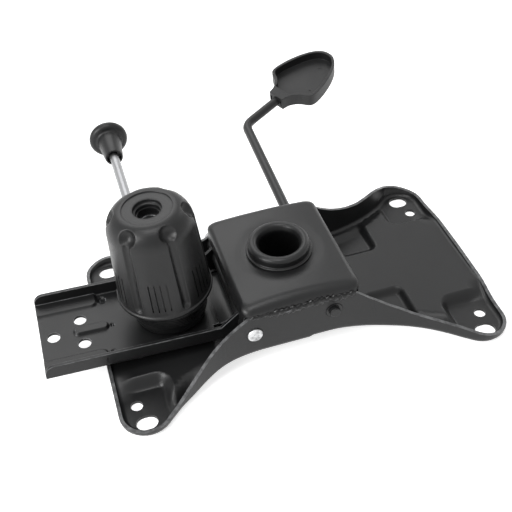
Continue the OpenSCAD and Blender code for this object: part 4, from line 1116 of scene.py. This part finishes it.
# Tilt lock knob
lockKnob = dict(foot=196.6, stem=7.8, root=10.6, stemLong=26.4, disc=17.2, edge=4.5, thick=11, recess=6.5,
    recessDeep=5, rod=4.02, rodEnd=26.9)


def makeLockKnob():
    k = lockKnob
    s, t, e = k["stemLong"], k["thick"], k["edge"]
    stem, root = k["stem"], k["root"]
    profile = [(k["recess"], 0), (stem - 0.6, 0), (stem - 0.15, 0.25), (stem, 0.8)]
    profile += [(stem + (root - stem) * z / (s - 2.5), z) for z in (4, 8, 12, 16, 20, s - 2.5)]
    profile += [(root + 0.3, s - 1.4), (root + 0.9, s - 0.5), (root + 1.8, s)]
    profile += arc(k["disc"] - e, s + e, e, -84, 14, 12)
    profile += [(k["disc"] * math.cos(math.radians(a)), s + e + (t - e) * math.sin(math.radians(a)))
        for a in range(14, 90, 6)] + [(0, s + t)]
    profile += [(0, k["rodEnd"]), (k["rod"], k["rodEnd"]), (k["rod"], k["recessDeep"]),
        (k["recess"], k["recessDeep"])]
    bm = lathe(profile, 80)
    return dress(asObject("lockKnob", bm, onLock @ shift(0, k["foot"], 0) @ alongY), "tilt_lock", plastic,
        ["lock_knob"], 45)


makeLockKnob()


# Bumpers under the bracket
bumper = dict(x=-118, y=20, radius=7, low=10.5, high=19.05, edge=1.3)


def makeBumpers():
    b = bumper
    r, low, high, edge = b["radius"], b["low"], b["high"], b["edge"]
    bm = bmesh.new()
    for side in (-1, 1):
        one = lathe([(0, low), (r, low), (r, high - edge), (r - 0.4, high - 0.4), (r - edge, high),
            (0, high)], 40, closed=False)
        bmesh.ops.translate(one, verts=one.verts, vec=(b["x"], side * b["y"], 0))
        gather(bm, one)
    return dress(asObject("restBumpers", bm), "seat_frame", rubber, ["rest_pads"])


makeBumpers()


# Small pressed pieces whose edges are only eased
def eased(name, node, body, look, width):
    piece = bpy.data.objects.new(name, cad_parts[node].data.copy())
    bpy.context.scene.collection.objects.link(piece)
    piece.data.transform(Matrix.Scale(1000, 4))
    edged(piece, width, 2, 40, 0.002)
    return dress(piece, body, look, [node], 35)


eased("triggerTab", "trigger_tab", "gas_lever", coat, 0.5)
eased("lockGuide", "lock_guide", "seat_frame", coat, 0.4)
eased("knobInsert", "knob_insert", "knob", bright, 0.4)


# CAD nodes that stay as they are, each with its finish
kept = dict(pivot_circlip=wire, pivot_bush_near=plastic, pivot_bush_far=plastic, pivot_sleeve=dark,
    tension_bolt=thread, bolt_washer=bright, thrust_washer=bright, lever_bush_near=plastic,
    lever_bush_far=plastic, lever_clip=wire, lock_rod=bright, lock_clip=wire)
for name, look in kept.items():
    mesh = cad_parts[name].data
    mesh.materials.clear()
    mesh.materials.append(look)
print("kept", len(kept), "CAD nodes")


# Floor, light and camera
stage = dict(floorGlow=0.72, skyLight=0.22,
    # Name, place, size and watts of each soft box
    lights=[("keyLight", (-1.75, -0.65, 1.1), (1.0, 1.0), 38), ("topLight", (-0.1, 1.5, 1.6), (1.5, 1.1), 14),
        ("overLight", (-0.25, -0.35, 2.1), (1.0, 0.8), 15), ("rimLight", (1.6, 1.2, 0.9), (0.6, 1.2), 5)])
photo = dict(size=512, middleX=255.353, middleY=256.024, lens=59.79, yaw=14.34, pitch=42.78, roll=3.98,
    eye=(-0.1332, -0.4319, 0.46745))


def seenDirectly(look):
    # One for a ray that the camera or a mirror-like surface sends out, none for scattered light
    seen, mirrored, through = (look.add("ShaderNodeLightPath", {}, {}, name)
        for name in ("Is Camera Ray", "Is Glossy Ray", "Is Transmission Ray"))
    return look.add("ShaderNodeMath", {"operation": "MINIMUM"}, {0: seen + mirrored + through, 1: 1.0})


def stageLook():
    # White to the camera and in reflections, with the object's shadow left on it
    look = Look("floorWhite", {"Base Color": (0.8, 0.8, 0.8, 1), "Roughness": 0.9, "Specular IOR Level": 0.0,
        "Emission Strength": 1.0})
    glow = look.blend(seenDirectly(look), (0, 0, 0), [stage["floorGlow"]] * 3)
    look.tree.links.new(glow.socket, look.shader.inputs["Emission Color"])
    return look.material


def makeStage():
    bm = bmesh.new()
    bmesh.ops.create_grid(bm, x_segments=1, y_segments=1, size=6)
    floor = asObject("floor", bm)
    floor.data.materials.append(stageLook())


def softBox(name, spot, size, watts):
    # Each one is turned to the origin
    lamp = bpy.data.lights.new(name, "AREA")
    lamp.shape, lamp.energy = "RECTANGLE", watts
    lamp.size, lamp.size_y = size
    light = bpy.data.objects.new(name, lamp)
    bpy.context.scene.collection.objects.link(light)
    light.location = spot
    light.rotation_euler = (-Vector(spot)).to_track_quat("-Z", "Y").to_euler()


class Sky(Look):
    # The world's node tree, with the same way of adding nodes
    def __init__(self, name):
        self.world = bpy.data.worlds.new(name)
        self.world.use_nodes = True
        self.tree = self.world.node_tree
        self.background = self.tree.nodes["Background"]


def makeWorld():
    sky = Sky("studio")
    direct = seenDirectly(sky)
    strength = stage["skyLight"] + direct * (1 - stage["skyLight"])
    sky.background.inputs["Color"].default_value = (1, 1, 1, 1)
    sky.tree.links.new(strength.socket, sky.background.inputs["Strength"])
    bpy.context.scene.world = sky.world


def makeCamera():
    p = photo
    yaw, pitch, roll = (math.radians(p[name]) for name in ("yaw", "pitch", "roll"))
    right = Vector((math.cos(yaw), -math.sin(yaw), 0))
    ahead = Vector((math.sin(yaw) * math.cos(pitch), math.cos(yaw) * math.cos(pitch), -math.sin(pitch)))
    down = ahead.cross(right)
    x = right * math.cos(roll) + down * math.sin(roll)
    y = down * math.cos(roll) - right * math.sin(roll)
    lens = bpy.data.cameras.new("photoCamera")
    lens.lens, lens.sensor_width = p["lens"], 36
    lens.shift_x = (p["size"] / 2 - p["middleX"]) / p["size"]
    lens.shift_y = (p["middleY"] - p["size"] / 2) / p["size"]
    lens.clip_start, lens.clip_end = 0.01, 50
    camera = bpy.data.objects.new("photoCamera", lens)
    bpy.context.scene.collection.objects.link(camera)
    camera.matrix_world = Matrix.Translation(p["eye"]) @ Matrix((x, -y, -ahead)).transposed().to_4x4()
    bpy.context.scene.camera = camera


makeStage()
for light in stage["lights"]:
    softBox(*light)
makeWorld()
makeCamera()
bpy.context.scene.view_settings.view_transform = "Standard"
print("stage set")
